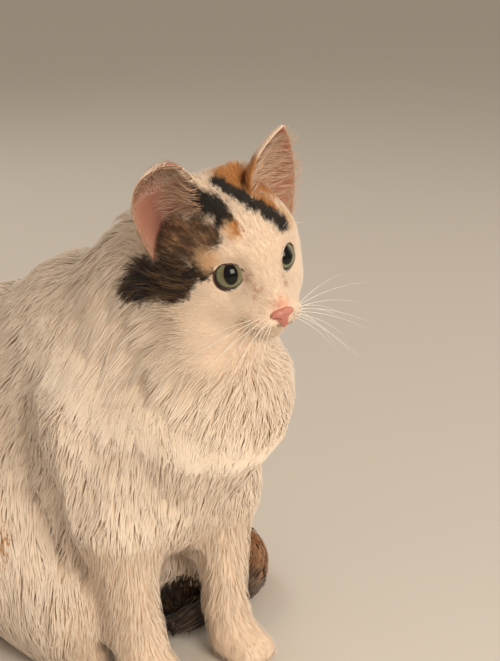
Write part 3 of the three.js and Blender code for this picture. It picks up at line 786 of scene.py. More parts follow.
# The front of each ear is bare pink skin but for its inner edge. The mouth's line, the nose and the
# front of the eyes are bare too.
head_mm = head_points * 1000
furred_edge = np.clip((0.30 - ear_across - 0.35 * ear_up) * 8, 0, 1)
inner_ear = np.clip((ear_front - 0.5) * 4, 0, 1) * (ear_up > -1) * (1 - furred_edge)
LIPS_HALF = 2.6
mouth = np.clip(LIPS_HALF - from_mouth(head_mm), 0, 1) * (np.abs(head_mm[:, 0]) < 20) * (head_mm[:, 1] < 0)
NOSE_MIDDLE = (0, -26.5, -24.5)
NOSE_REACH = (9.5, 6.0, 7.5)
bare = np.maximum(inner_ear, mouth)
bare = np.maximum(bare, np.linalg.norm((head_mm - NOSE_MIDDLE) / NOSE_REACH, axis=1) < 1)
for out in (-1, 1):
    along, off = in_eye(head_mm, out)
    bare = np.maximum(bare, (along > 0) & (along < LID_REACH) & (off < LID_OPENING + 0.5))


# ---------------------------------------------------------------- colour of the skin
# The skin has the markings of the hair above it, a little warmer: partly the pink of real skin,
# partly painted warm shade for where it shows deep between the tufts. In the ears it is bare and
# pink, with painted shade in their hollows: dark red, deepest low in the cup.
# The warm tint is partly the pink of the skin and partly painted shade for the gaps between tufts.
SKIN_PINK_AND_SHADE = (1.0, 0.91, 0.82)
EAR_SKIN_DARK = (0.36, 0.13, 0.09)
EAR_SKIN_LIGHT = (0.58, 0.30, 0.23)
# Painted shade: the dark red laid into the deepest part of each ear's cup.
EAR_HOLLOW_SHADE = (0.22, 0.09, 0.065)


def attribute(tree, name):
    """The outputs of a node that reads a value the mesh carries."""
    made = tree.nodes.new("ShaderNodeAttribute")
    made.attribute_name = name
    return made.outputs


# Painted shade in the cup of each ear: darkest low down and in the middle across, where the hollow is
# deepest.
ear_deep = np.clip(1.1 - ear_up * 1.6, 0, 1) * np.clip(1.6 - np.abs(ear_across - 0.5) * 3.6, 0, 1)
for name, values in (("tail", kind_share["tail"]), ("inner_ear", inner_ear), ("ear_deep", ear_deep)):
    skin_mesh.attributes.new(name, "FLOAT", "POINT").data.foreach_set("value", values)
skin_finish, skin_tree, skin_shader = material("skin", roughness=0.62)
skin_place = node(skin_tree, "ShaderNodeTexCoord").outputs["Object"]
skin_tone = use_group(skin_tree, calico, Place=skin_place, Root=skin_place,
                      Tail=attribute(skin_tree, "tail")["Fac"])["Color"]
# partly skin pink, partly painted warm shade where the skin shows between tufts
skin_tone = vector_maths(skin_tree, "MULTIPLY", skin_tone, SKIN_PINK_AND_SHADE)
skin_veins = node(skin_tree, "ShaderNodeTexNoise", Vector=skin_place, Scale=90.0, Detail=3.0)
ear_pink = mixed(skin_tree, skin_veins.outputs["Fac"], EAR_SKIN_DARK, EAR_SKIN_LIGHT)
# painted shade darkens the pink deep in the ear's hollow
ear_pink = mixed(skin_tree, attribute(skin_tree, "ear_deep")["Fac"], ear_pink, EAR_HOLLOW_SHADE)
skin_tone = mixed(skin_tree, attribute(skin_tree, "inner_ear")["Fac"], skin_tone, ear_pink)
skin_tree.links.new(skin_tone, skin_shader.inputs["Base Color"])
skin_nap = node(skin_tree, "ShaderNodeTexNoise", Vector=skin_place, Scale=1600.0, Detail=2.0)
skin_bump = node(skin_tree, "ShaderNodeBump", Height=skin_nap.outputs["Fac"], Strength=0.4,
                 Distance=0.0006)
skin_tree.links.new(skin_bump.outputs["Normal"], skin_shader.inputs["Normal"])
skin.data.materials.append(skin_finish)
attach(skin, "root")
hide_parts(*FLESH)


# ---------------------------------------------------------------- tufts
# Every tuft is a thin solid blade of three sides, broad in the middle and drawn to a point.
# It rises from its root, bends over along the lie and leans to the middle of its lock.
PATCH = 0.003
FLOOR_GAP = 0.0009
BLADE_SHAPE = (0.7, 1.0, 0.72, 0.4)
BLADE_RIDGE = 0.24
BLADE_SPREAD = 0.25
SOFTNESS = 0.85
TURNED_AWAY = 0.15
MARKED_ALONG = 0.6
SLOPE_STEP = VOXEL * 1.5
ROOTS_AT_ONCE = 2000
# Where the three corners of a blade's foot lie on its patch of the map.
FOOT_ROUND = (0.2, 2.8, 1.5)
FOOT_ALONG = (0, 0, 0.1)
# How much the tufts differ from one another, how they rise and how they gather.
LENGTH_SPREAD = (0.75, 1.15)
BREADTH_SPREAD = (0.7, 1.25)
LIFT_SPREAD = (0.88, 1.15)
LIFT_LIMITS = (0.03, 0.9)
FIRST_LIFT = 1.5
LIFT_LOSS = 1.1
GATHER_CURVE = 1.3
GATHER_FEET = 0.85
GATHER_TIPS = 0.8


def slope(points):
    """Which way is out of the coat, at these points."""
    found = np.stack([sample(outline, VOXEL, points + step) - sample(outline, VOXEL, points - step)
                      for step in np.eye(3) * SLOPE_STEP], axis=1)
    return found / (np.linalg.norm(found, axis=1)[:, None] + 1e-9)


def blades(name, paths, across, outs, breadths, roots, root_maps, finish):
    """One mesh of many blades. paths is (tufts, steps + 1, 3)."""
    tufts, rings = paths.shape[0], paths.shape[1] - 1
    ahead = np.gradient(paths, axis=1)
    ahead /= np.linalg.norm(ahead, axis=2)[..., None] + 1e-12
    up = np.cross(across[:, None], ahead)
    up /= np.linalg.norm(up, axis=2)[..., None] + 1e-12
    side = np.cross(ahead, up)
    shape = np.interp(np.linspace(0, 1, rings), np.linspace(0, 1, len(BLADE_SHAPE)), BLADE_SHAPE)
    half = (breadths[:, None] * shape / 2)[..., None]
    body = paths[:, :-1]
    ring = np.stack([body + up[:, :-1] * half * 2 * BLADE_RIDGE, body + side[:, :-1] * half,
                     body - side[:, :-1] * half], axis=2)
    vertices = np.concatenate([ring.reshape(tufts, rings * 3, 3), paths[:, -1:]], axis=1)
    per_tuft = rings * 3 + 1
    quads = [(3 * r + i, 3 * r + (i + 1) % 3, 3 * r + 3 + (i + 1) % 3, 3 * r + 3 + i)
             for r in range(rings - 1) for i in range(3)]
    tips = [(3 * (rings - 1) + i, 3 * (rings - 1) + (i + 1) % 3, per_tuft - 1) for i in range(3)]
    base = [(0, 2, 1)]
    corners = np.array([v for face in quads + tips + base for v in face])
    sizes = np.array([4] * len(quads) + [3] * (len(tips) + 1))
    # each corner's place on the tuft's patch of the map: round the blade, and along it
    round_place = []
    for kind, count in (("quad", len(quads)), ("tip", len(tips))):
        for f in range(count):
            i = f % 3
            round_place += [i, i + 1, i + 1, i] if kind == "quad" else [i, i + 1, i + 0.5]
    round_place += FOOT_ROUND
    along_place = corners // 3 / rings
    along_place[-3:] = FOOT_ALONG
    local = np.stack([np.array(round_place) / 3 - 0.5, along_place - 0.5], axis=1) * PATCH
    maps = (root_maps[:, None] + local[None]).reshape(-1, 2)

    mesh = bpy.data.meshes.new(name)
    mesh.vertices.add(tufts * per_tuft)
    mesh.vertices.foreach_set("co", vertices.ravel())
    loops = (corners[None] + (np.arange(tufts) * per_tuft)[:, None]).ravel()
    all_sizes = np.tile(sizes, tufts)
    mesh.loops.add(len(loops))
    mesh.loops.foreach_set("vertex_index", loops)
    mesh.polygons.add(len(all_sizes))
    mesh.polygons.foreach_set("loop_start", np.concatenate([[0], np.cumsum(all_sizes)[:-1]]))
    mesh.polygons.foreach_set("use_smooth", np.ones(len(all_sizes), bool))
    mesh.update(calc_edges=True)
    mesh.uv_layers.new(name="OFBake").uv.foreach_set("vector", maps.ravel())
    # the upper sides take much of their shading from the coat as a whole, which looks softer
    out = np.repeat(outs[:, None], rings + 1, axis=1)
    soft = out * SOFTNESS + up * (1 - SOFTNESS)
    ring_of = np.minimum(corners // 3, rings)
    face_side = np.array([f % 3 for f in range(len(quads)) for _ in range(4)]
                         + [f % 3 for f in range(3) for _ in range(3)] + [3] * 3)
    lean = np.array((BLADE_SPREAD, 0, -BLADE_SPREAD, 0))[face_side]
    normals = soft[:, ring_of] + side[:, ring_of] * lean[None, :, None]
    faces_up = np.array((1, -1, 1, 0))[face_side][None, :, None]
    slant = np.array((2 * BLADE_RIDGE, 0, -2 * BLADE_RIDGE, 0))[face_side][None, :, None]
    flat = side[:, ring_of] * slant + up[:, ring_of] * faces_up - ahead[:, ring_of] * (faces_up == 0)
    against = (normals * flat).sum(2) < TURNED_AWAY
    normals = np.where((against | (face_side == 1) | (face_side == 3))[..., None], flat, normals)
    normals /= np.linalg.norm(normals, axis=2)[..., None]
    mesh.normals_split_custom_set(normals.reshape(-1, 3))
    mesh.attributes.new("root", "FLOAT_VECTOR", "POINT").data.foreach_set(
        "vector", np.repeat(roots, per_tuft, axis=0).ravel())
    marked = roots[:, None] + (vertices - roots[:, None]) * MARKED_ALONG
    mesh.attributes.new("marked", "FLOAT_VECTOR", "POINT").data.foreach_set("vector", marked.ravel())
    along = np.concatenate([np.repeat(np.arange(rings), 3), [rings]]) / rings
    mesh.attributes.new("along", "FLOAT", "POINT").data.foreach_set("value", np.tile(along, tufts))
    made = bpy.data.objects.new(name, mesh)
    bpy.context.scene.collection.objects.link(made)
    mesh.materials.append(finish)
    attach(made, "root")
    return made


def grow(name, where, count, steps, finish, seed, per_lock=9, gather=0.6, sag=0.0, stray=0.12,
         proud=0.0, ways=None, lengths=None, breadths=None, rises=None):
    """A piece of the coat: count tufts over the skin, as thick as where says, in locks.

    The tufts of a lock gather to its middle. They sag, stray from the lie and stand proud of the
    outline by that much. The coat's own lie and sizes are used where none are given.
    """
    rng = np.random.default_rng(seed)
    chance = where[hide_faces].mean(1) * hide_areas
    picked = rng.choice(len(hide_faces), count, p=chance / chance.sum())
    part = rng.dirichlet((1, 1, 1), count)

    def at_root(values):
        if values.ndim == 1:
            return (values[hide_faces[picked]] * part).sum(1)
        return (values[hide_faces[picked]] * part[..., None]).sum(1)

    roots, normals = at_root(hide_points), at_root(hide_normals)
    normals /= np.linalg.norm(normals, axis=1)[:, None] + 1e-9
    ways = at_root(lie if ways is None else ways)
    lengths = at_root(coat_length if lengths is None else lengths) * rng.uniform(*LENGTH_SPREAD, count)
    breadths = at_root(coat_breadth if breadths is None else breadths) * rng.uniform(*BREADTH_SPREAD, count)
    rises = at_root(coat_rise if rises is None else rises)
    root_maps = (hide_map[picked] * part[..., None]).sum(1)
    heads = rng.choice(count, max(1, count // per_lock), replace=False)
    lock = np.empty(count, int)
    for start in range(0, count, ROOTS_AT_ONCE):
        gap = roots[start:start + ROOTS_AT_ONCE, None] - roots[None, heads]
        lock[start:start + ROOTS_AT_ONCE] = (gap ** 2).sum(2).argmin(1)
    lead = heads[lock]
    ways = ways[lead] + rng.normal(0, stray, (len(heads), 3))[lock] + rng.normal(0, stray * 0.5, (count, 3))
    lift = np.arcsin(np.clip(rises / lengths, *LIFT_LIMITS)) * rng.uniform(*LIFT_SPREAD, count)

    points = roots.copy()
    path = [points]
    first_across = None
    for step in range(steps):
        out = slope(points) if step else normals
        flat = on_surface(ways + np.array((0, 0, -sag)) * step / steps, out)
        angle = lift * (FIRST_LIFT - LIFT_LOSS * step / max(steps - 1, 1))
        across = np.cross(flat, out)
        first_across = across if first_across is None else first_across
        points = points + (flat * np.cos(angle)[:, None] + out * np.sin(angle)[:, None]) \
            * (lengths / steps)[:, None]
        out = slope(points)
        over = sample(outline, VOXEL, points) - proud
        points = points - out * np.maximum(over, 0)[:, None]
        path.append(points)
    paths = np.stack(path, axis=1)
    paths[..., 2] = np.maximum(paths[..., 2], FLOOR_GAP)
    # the tufts of a lock lean together towards their tips
    drift = (paths[lead] - roots[lead][:, None]) - (paths - roots[:, None])
    to_lead = (roots[lead] - roots)[:, None]
    t = (np.arange(steps + 1) / steps)[None, :, None]
    paths = paths + gather * t ** GATHER_CURVE * (to_lead * GATHER_FEET + drift * GATHER_TIPS)
    made = blades(name, paths, first_across, normals, breadths, roots, root_maps, finish)
    made.data.attributes.new("tail", "FLOAT", "POINT").data.foreach_set(
        "value", np.repeat(at_root(kind_share["tail"]), len(made.data.vertices) // count))
    return made


# ---------------------------------------------------------------- coat
# The coat is made in ten pieces, from the face to the tail, that meet without a seam. All of them
# have the same hair, which carries the calico markings and has painted shade at the root: it is
# darker and warmer there, and a little lighter at the tip.
# Painted shade and light along each tuft: darker and warmer at the root, as in the shade between the locks, a
# little lighter at the tip.
ROOT_PAINTED_SHADE = (0.92, 0.84, 0.74)
TIP_PAINTED_LIGHT = (1.03, 1.03, 1.03)


def hair(name, tone):
    """Hair with painted shade at the root, darker and warmer there and a little lighter at the tip, and
    varied from tuft to tuft.
    """
    made, tree, shader = material(name, roughness=0.7, specular_ior_level=0.25, sheen_weight=0.15,
                                  sheen_roughness=0.5)
    root = attribute(tree, "root")["Vector"]
    vary = node(tree, "ShaderNodeTexNoise", Vector=root, Scale=700.0, Detail=1.0).outputs["Fac"]
    shade = node(tree, "ShaderNodeMapRange", Value=vary, From_Min=0.3, From_Max=0.7,
                 To_Min=0.95, To_Max=1.04)
    # painted shade towards the root of each tuft, painted light at its tip
    painted_root_shade = mixed(tree, attribute(tree, "along")["Fac"], ROOT_PAINTED_SHADE, TIP_PAINTED_LIGHT)
    shaded = vector_maths(tree, "MULTIPLY", painted_root_shade, shade.outputs[0])
    coloured = vector_maths(tree, "MULTIPLY", tone(tree, root, vary), shaded)
    tree.links.new(coloured, shader.inputs["Base Color"])
    return made


def calico_tone(tree, root, vary):
    """The markings, which change along a tuft a little less than along the skin."""
    return use_group(tree, calico, Place=attribute(tree, "marked")["Vector"], Root=root,
                     Tail=attribute(tree, "tail")["Fac"])["Color"]


coat_finish = hair("coat hair", calico_tone)
fore = (kind_share["face"] + kind_share["jaw"]) * (1 - bare)
feet = kind_share["foreleg"] + kind_share["forepaw"] + kind_share["hind_foot"]
# Each piece: where it grows, how many tufts, in how many steps, and how its locks form.
for name, where, count, steps, extra in (
    ("coat_face", fore, 17000, 2, dict(per_lock=3, gather=0.15, stray=0.07)),
    ("coat_head", kind_share["head"] * (1 - bare), 17000, 2, dict(per_lock=5, gather=0.3, stray=0.09)),
    ("coat_ears", kind_share["ear"] * (1 - bare), 7000, 2, dict(per_lock=3, gather=0.2)),
    ("coat_ruff", ruff, 10500, 3, dict(per_lock=40, gather=0.78, sag=0.8)),
    ("coat_nape", kind_share["neck"] - ruff, 5000, 3, dict(per_lock=8, gather=0.2)),
    ("coat_chest", kind_share["chest"], 11000, 3, dict(per_lock=8, gather=0.2, stray=0.08)),
    ("coat_back", kind_share["loins"], 10500, 3, dict(per_lock=8, gather=0.2, stray=0.08)),
    ("coat_thighs", kind_share["thigh"], 10500, 3, dict(per_lock=8, gather=0.2, stray=0.08)),
    ("coat_legs", feet, 13000, 2, dict(per_lock=4, gather=0.15, stray=0.08)),
    ("coat_tail", kind_share["tail"], 7000, 3, dict(per_lock=8, gather=0.3, stray=0.08)),
):
    coat_piece = grow(name, where, count, steps, coat_finish, len(name), **extra)


# ---------------------------------------------------------------- hair in the ears
# Long pale hair springs from the inner edge and the foot of each ear and sweeps across the pink
# hollow to the outer edge. A fringe of short pale hair stands along the rim.
EAR_HAIR_DARK = (0.40, 0.24, 0.17)
EAR_HAIR_LIGHT = (0.82, 0.64, 0.50)


def ear_hair_tone(tree, root, vary):
    """Pale hair that differs from tuft to tuft."""
    return mixed(tree, vary, EAR_HAIR_DARK, EAR_HAIR_LIGHT)


def everywhere(value):
    """The same value at every point of the skin."""
    return np.full(len(hide_points), value)


def ear_ways(left, right):
    """A way for each point on the ears, given in the head's axes."""
    ways = np.zeros_like(hide_points)
    for name, way in (("ear_left", left), ("ear_right", right)):
        ways[share[name] > 0.2] = HEAD_AXES @ way
    return ways


ear_hair_finish = hair("ear hair", ear_hair_tone)
fan_ways = ear_ways((1.0, 0.1, 0.4), (-1.0, 0.1, -0.05))
# Each ear: how many tufts, how long and broad, and how fast they thin out away from the inner edge.
for name, count, reach, thick, thinning in (("left", 1500, 0.013, 0.0004, 1.3),
                                            ("right", 650, 0.017, 0.00028, 2.9)):
    roots = share[f"ear_{name}"] * (ear_front > 0.5) * (ear_up > -0.08) \
        * np.clip(1.5 - ear_up * 1.5, 0, 1) * np.clip(1.4 - ear_across * thinning, 0, 1)
    fan = grow(f"ear_hair_{name}", roots, count, 4, ear_hair_finish, 41, per_lock=4, gather=0.4,
               stray=0.16, proud=0.006, ways=fan_ways, lengths=everywhere(reach),
               breadths=everywhere(thick), rises=everywhere(0.0035))

fringe_roots = (ear_up > 0.0) * np.clip((ear_across - 0.94) * 30, 0, 1)
fringe = grow("ear_fringe", fringe_roots, 1500, 2, ear_hair_finish, 43, per_lock=2, gather=0.2,
              stray=0.2, proud=0.002, ways=ear_ways((0.2, 0.0, 1.0), (-0.2, 0.0, 1.0)),
              lengths=everywhere(0.0045), breadths=everywhere(0.0003), rises=everywhere(0.0012))


# ---------------------------------------------------------------- eyes
# Each eyeball is a wet ball whose front is a little raised. It has a grey-green iris with fine
# rays and a dark edge, and a wide upright pupil.
EYE_RADIUS = 0.0105
GAZE_TURN = {"left": -0.04, "right": -0.40}
GAZE_RISE = {"left": -0.48, "right": -0.34}
CORNEA_RISE = 0.0009
CORNEA_SPREAD = 0.62
PUPIL_HALF = (0.0043, 0.0066)
IRIS_RADIUS = 0.0086
IRIS_DARK = (0.10, 0.12, 0.065)
IRIS_LIGHT = (0.33, 0.36, 0.23)
IRIS_INNER = (0.15, 0.12, 0.06)
IRIS_EDGE = (0.02, 0.018, 0.014)
PUPIL_BLACK = (0.003, 0.003, 0.004)
EYE_ROWS = 40
EYE_SEGMENTS = 56


def looking(turn, drop):
    """Axes whose y points backwards out of an eye that looks this far to the left and down."""
    return head_turned @ Matrix.Rotation(turn, 3, "Z") @ Matrix.Rotation(drop, 3, "X")


def maze(tree, place, scale, detail=2.0):
    """A noise between 0 and 1."""
    return node(tree, "ShaderNodeTexNoise", Vector=place, Scale=scale, Detail=detail).outputs["Fac"]


for side in ("left", "right"):
    low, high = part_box(f"eye_{side}")
    centre = (low + high) / 2
    gaze = looking(GAZE_TURN[side], GAZE_RISE[side])
    rows = []
    for row in range(1, EYE_ROWS):
        angle = math.pi * row / EYE_ROWS
        radius = EYE_RADIUS + CORNEA_RISE * math.exp(-(angle / CORNEA_SPREAD) ** 4)
        rows.append([centre + gaze @ Vector((radius * math.sin(angle) * math.cos(turn),
                                             -radius * math.cos(angle),
                                             radius * math.sin(angle) * math.sin(turn)))
                     for turn in np.linspace(0, math.tau, EYE_SEGMENTS, endpoint=False)])
    points = [p for row in rows for p in row]
    points += [centre + gaze @ Vector((0, -EYE_RADIUS - CORNEA_RISE, 0)),
               centre + gaze @ Vector((0, EYE_RADIUS, 0))]
    faces = []
    for row in range(EYE_ROWS - 2):
        for seg in range(EYE_SEGMENTS):
            a, b = row * EYE_SEGMENTS + seg, row * EYE_SEGMENTS + (seg + 1) % EYE_SEGMENTS
            faces.append((a, a + EYE_SEGMENTS, b + EYE_SEGMENTS, b))
    last = (EYE_ROWS - 2) * EYE_SEGMENTS
    for seg in range(EYE_SEGMENTS):
        faces.append((seg, (seg + 1) % EYE_SEGMENTS, len(points) - 2))
        faces.append((last + (seg + 1) % EYE_SEGMENTS, last + seg, len(points) - 1))
    eyeball = piece(f"eyeball_{side}", points, faces)

    finish, tree, shader = material(f"wet {side} eye", roughness=0.15, coat_weight=0.30, coat_roughness=0.02,
                                    specular_ior_level=0.15)
    place = node(tree, "ShaderNodeMapping", Vector=node(tree, "ShaderNodeTexCoord").outputs["Object"])
    place.vector_type = "TEXTURE"
    place.inputs["Location"].default_value = centre
    place.inputs["Rotation"].default_value = gaze.to_euler("XYZ")
    flat = node(tree, "ShaderNodeSeparateXYZ", Vector=place.outputs[0]).outputs
    radial = maths(tree, "SQRT", maths(tree, "ADD", maths(tree, "POWER", flat["X"], 2.0),
                                       maths(tree, "POWER", flat["Z"], 2.0)))
    turn = maths(tree, "ARCTAN2", flat["Z"], flat["X"])
    ray = node(tree, "ShaderNodeCombineXYZ", X=maths(tree, "SINE", turn), Y=maths(tree, "COSINE", turn),
               Z=maths(tree, "MULTIPLY", radial, 60.0)).outputs[0]
    fibre = maze(tree, ray, 9.0, 4.0)
    green = mixed(tree, fibre, IRIS_DARK, IRIS_LIGHT)
    inner = node(tree, "ShaderNodeMapRange", Value=radial, From_Min=0.0045, From_Max=0.0072)
    green = mixed(tree, inner.outputs[0], IRIS_INNER, green)
    edge = node(tree, "ShaderNodeMapRange", Value=radial, From_Min=IRIS_RADIUS - 0.0011,
                From_Max=IRIS_RADIUS)
    green = mixed(tree, edge.outputs[0], green, IRIS_EDGE)
    across = maths(tree, "POWER", maths(tree, "DIVIDE", flat["X"], PUPIL_HALF[0]), 2.0)
    upright = maths(tree, "POWER", maths(tree, "DIVIDE", flat["Z"], PUPIL_HALF[1]), 2.0)
    oval = maths(tree, "SQRT", maths(tree, "ADD", across, upright))
    pupil = node(tree, "ShaderNodeMapRange", Value=oval, From_Min=1.05, From_Max=0.95)
    eye_tone = mixed(tree, pupil.outputs[0], green, PUPIL_BLACK)
    tree.links.new(eye_tone, shader.inputs["Base Color"])
    eyeball.data.materials.append(finish)
    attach(eyeball, "root")
    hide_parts(f"eye_{side}")


# ---------------------------------------------------------------- lid rims
# A thin dark rim of bare lid lies on each eyeball. It is nearly round, flatter at the top and
# drawn out to a point beside the nose.
RIM_SEGMENTS = 64
RIM_SIDES = 8
RIM_THICK = 0.00065
RIM_OPENING = 0.0092
RIM_ABOVE_EYE = 0.0004
RIM_DEEPEST = 0.33
CORNER_REACH = 0.24
CORNER_BREADTH = 0.30
CORNER_DROOP = 0.45
UPPER_LID = 0.0087
RIM_DARK = (0.028, 0.012, 0.010)
RIM_LIGHT = (0.10, 0.042, 0.034)
rim_finish, rim_tree, rim_shader = material("bare lid", roughness=0.35, coat_weight=0.3)
rim_noise = maze(rim_tree, node(rim_tree, "ShaderNodeTexCoord").outputs["Object"], 700.0)
rim_tree.links.new(mixed(rim_tree, rim_noise, RIM_DARK, RIM_LIGHT),
                   rim_shader.inputs["Base Color"])
for side, out in (("left", 1), ("right", -1)):
    low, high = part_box(f"eye_{side}")
    centre = (low + high) / 2
    axes = looking(out * EYE_TURN, 0.0)
    ring = []
    for turn in np.linspace(0, math.tau, RIM_SEGMENTS, endpoint=False):
        # the inner corner lies towards the nose and a little down
        corner = (math.pi if out > 0 else 0) + out * CORNER_DROOP
        gap = math.atan2(math.sin(turn - corner), math.cos(turn - corner))
        reach = 1 + CORNER_REACH * math.exp(-(gap / CORNER_BREADTH) ** 2)
        x = RIM_OPENING * math.cos(turn) * reach
        z = min(RIM_OPENING * math.sin(turn) * reach, UPPER_LID)
        ball = EYE_RADIUS + RIM_ABOVE_EYE
        y = -math.sqrt(max(ball ** 2 - math.hypot(x, z) ** 2, (RIM_DEEPEST * ball) ** 2))
        ring.append(Vector((x, y, z)))
    points = []
    for i, at in enumerate(ring):
        ahead = (ring[(i + 1) % RIM_SEGMENTS] - ring[i - 1]).normalized()
        outward = (at - ahead * at.dot(ahead)).normalized()
        beside = ahead.cross(outward)
        for turn in np.linspace(0, math.tau, RIM_SIDES, endpoint=False):
            aside = outward * math.cos(turn) + beside * math.sin(turn)
            points.append(centre + axes @ (at + aside * RIM_THICK))
    faces = []
    for i in range(RIM_SEGMENTS):
        for j in range(RIM_SIDES):
            a, b = i * RIM_SIDES, (i + 1) % RIM_SEGMENTS * RIM_SIDES
            k = (j + 1) % RIM_SIDES
            faces.append((a + j, a + k, b + k, b + j))
    rim = piece(f"lid_rim_{side}", points, faces)
    rim.data.materials.append(rim_finish)
    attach(rim, "root")


# ---------------------------------------------------------------- nose
# The nose leather is a bare pink pad, pebbled and a little moist, with two comma-shaped nostrils
# and a groove down the middle. Soft eggs are run together, in millimetres in the head's axes, and
# the holes are taken out.
NOSE_VOXEL = 0.0003
NOSE_LOW = np.array((-0.0115, -0.0300, -0.0335))
NOSE_HIGH = np.array((0.0115, -0.0150, -0.0155))
LEATHER_DARK = (0.38, 0.12, 0.095)
LEATHER_LIGHT = (0.66, 0.28, 0.22)
nose_grid = np.stack(np.meshgrid(*(np.arange(a, b, NOSE_VOXEL) for a, b in zip(NOSE_LOW, NOSE_HIGH)),
                                 indexing="ij"), axis=-1) * 1000


def egg(middle, reach):
    """Roughly the distance in millimetres from an egg, negative inside."""
    off = (nose_grid - middle) / reach
    far = np.linalg.norm(off, axis=-1)
    return (far - 1) * min(reach) * 0.9 + (far - 1) * 0.1 * max(reach)


def run_together(a, b, blend):
    """Two masses joined with a soft seam."""
    h = np.clip(0.5 + 0.5 * (b - a) / blend, 0, 1)
    return b * (1 - h) + a * h - blend * h * (1 - h)


pad = egg((0, -24.2, -21.6), (7.0, 3.1, 3.2))
for height, breadth in ((-24.2, 4.9), (-26.6, 3.1), (-28.6, 1.9)):
    pad = run_together(pad, egg((0, -24.5, height), (breadth, 2.6, 2.4)), 1.4)
for x in (-1, 1):
    pad = run_together(pad, egg((5.6 * x, -22.9, -22.4), (2.6, 2.8, 2.3)), 0.9)
    pad = -run_together(-pad, egg((3.7 * x, -26.9, -24.9), (1.5, 2.3, 1.0)), 0.5)
    pad = -run_together(-pad, egg((5.9 * x, -25.6, -23.6), (1.8, 1.9, 0.6)), 0.5)
pad = -run_together(-pad, egg((0, -28.2, -26.8), (0.35, 1.7, 4.2)), 0.5)
nose_points, nose_triangles, nose_quads = surface(pad.astype(np.float32), 0.0, NOSE_VOXEL)
nose_faces = nose_quads.tolist() + nose_triangles.tolist()
nose_pad = piece("nose_leather", from_head(nose_points + NOSE_LOW), nose_faces)
leather, leather_tree, leather_shader = material("nose leather", roughness=0.42, coat_weight=0.25,
                                                 coat_roughness=0.3)
leather_place = node(leather_tree, "ShaderNodeTexCoord").outputs["Object"]
pebble = node(leather_tree, "ShaderNodeTexVoronoi", Vector=leather_place, Scale=1500.0)
leather_blotch = maze(leather_tree, leather_place, 260.0, 3.0)
leather_tone = mixed(leather_tree, leather_blotch, LEATHER_DARK, LEATHER_LIGHT)
leather_tree.links.new(leather_tone, leather_shader.inputs["Base Color"])
leather_bump = node(leather_tree, "ShaderNodeBump", Height=pebble.outputs["Distance"],
                    Strength=0.35, Distance=0.0004)
leather_tree.links.new(leather_bump.outputs["Normal"], leather_shader.inputs["Normal"])
nose_pad.data.materials.append(leather)
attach(nose_pad, "root")
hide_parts("nose")


# ---------------------------------------------------------------- claws
# A curved horn claw, narrow from side to side, is half drawn back into the fur of each toe.
# The four toes of a foot are fanned: the outer two stand a little further back.
CLAW_LENGTH = 0.0058
CLAW_HALF = (0.0009, 0.0017)
CLAW_CURL = 1.0
CLAW_DROP = 0.45
CLAW_TILT = 0.2
CLAW_HEIGHT = 0.0075
TOE_FAN = 0.0026
CLAW_RINGS = 8
CLAW_SIDES = 10
HORN_DARK = (0.60, 0.46, 0.38)
HORN_LIGHT = (0.80, 0.70, 0.60)


def claw_middle(start, t):
    """The middle line of a claw: it runs forwards and drops more and more."""
    ahead = -math.sin(CLAW_CURL * t) / CLAW_CURL
    return start + CLAW_LENGTH * np.array((0, ahead, -CLAW_DROP * t * t))


claw_points, claw_faces = [], []
for foot, spread, back in (("forepaw_left", 0.0083, 0.0050), ("forepaw_right", 0.0083, 0.0050),
                           ("hind_foot_left", 0.0070, 0.0065), ("hind_foot_right", 0.0070, 0.0065)):
    low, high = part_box(foot)
    for toe in (-1.5, -0.5, 0.5, 1.5):
        start = np.array(((low.x + high.x) / 2 + toe * spread, low.y + back + abs(toe) * TOE_FAN,
                          CLAW_HEIGHT))
        first = len(claw_points)
        for i in range(CLAW_RINGS):
            t = i / CLAW_RINGS
            turn = -CLAW_TILT - CLAW_CURL * t
            for around in np.linspace(0, math.tau, CLAW_SIDES, endpoint=False):
                side = math.cos(around) * CLAW_HALF[0] * (1 - t)
                up = math.sin(around) * CLAW_HALF[1] * (1 - t)
                claw_points.append(claw_middle(start, t)
                                   + (side, up * math.sin(turn), up * math.cos(turn)))
        claw_points += [start, claw_middle(start, 1)]
        for i in range(CLAW_RINGS - 1):
            for j in range(CLAW_SIDES):
                a, b = first + i * CLAW_SIDES + j, first + i * CLAW_SIDES + (j + 1) % CLAW_SIDES
                claw_faces.append((a, b, b + CLAW_SIDES, a + CLAW_SIDES))
        last = first + (CLAW_RINGS - 1) * CLAW_SIDES
        for j in range(CLAW_SIDES):
            k = (j + 1) % CLAW_SIDES
            claw_faces += [(first + k, first + j, len(claw_points) - 2),
                           (last + j, last + k, len(claw_points) - 1)]
claws = piece("claws", claw_points, claw_faces)
horn, horn_tree, horn_shader = material("claw horn", roughness=0.3, coat_weight=0.3)
horn_grain = maze(horn_tree, node(horn_tree, "ShaderNodeTexCoord").outputs["Object"], 400.0)
horn_tree.links.new(mixed(horn_tree, horn_grain, HORN_DARK, HORN_LIGHT),
                    horn_shader.inputs["Base Color"])
claws.data.materials.append(horn)
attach(claws, "root")


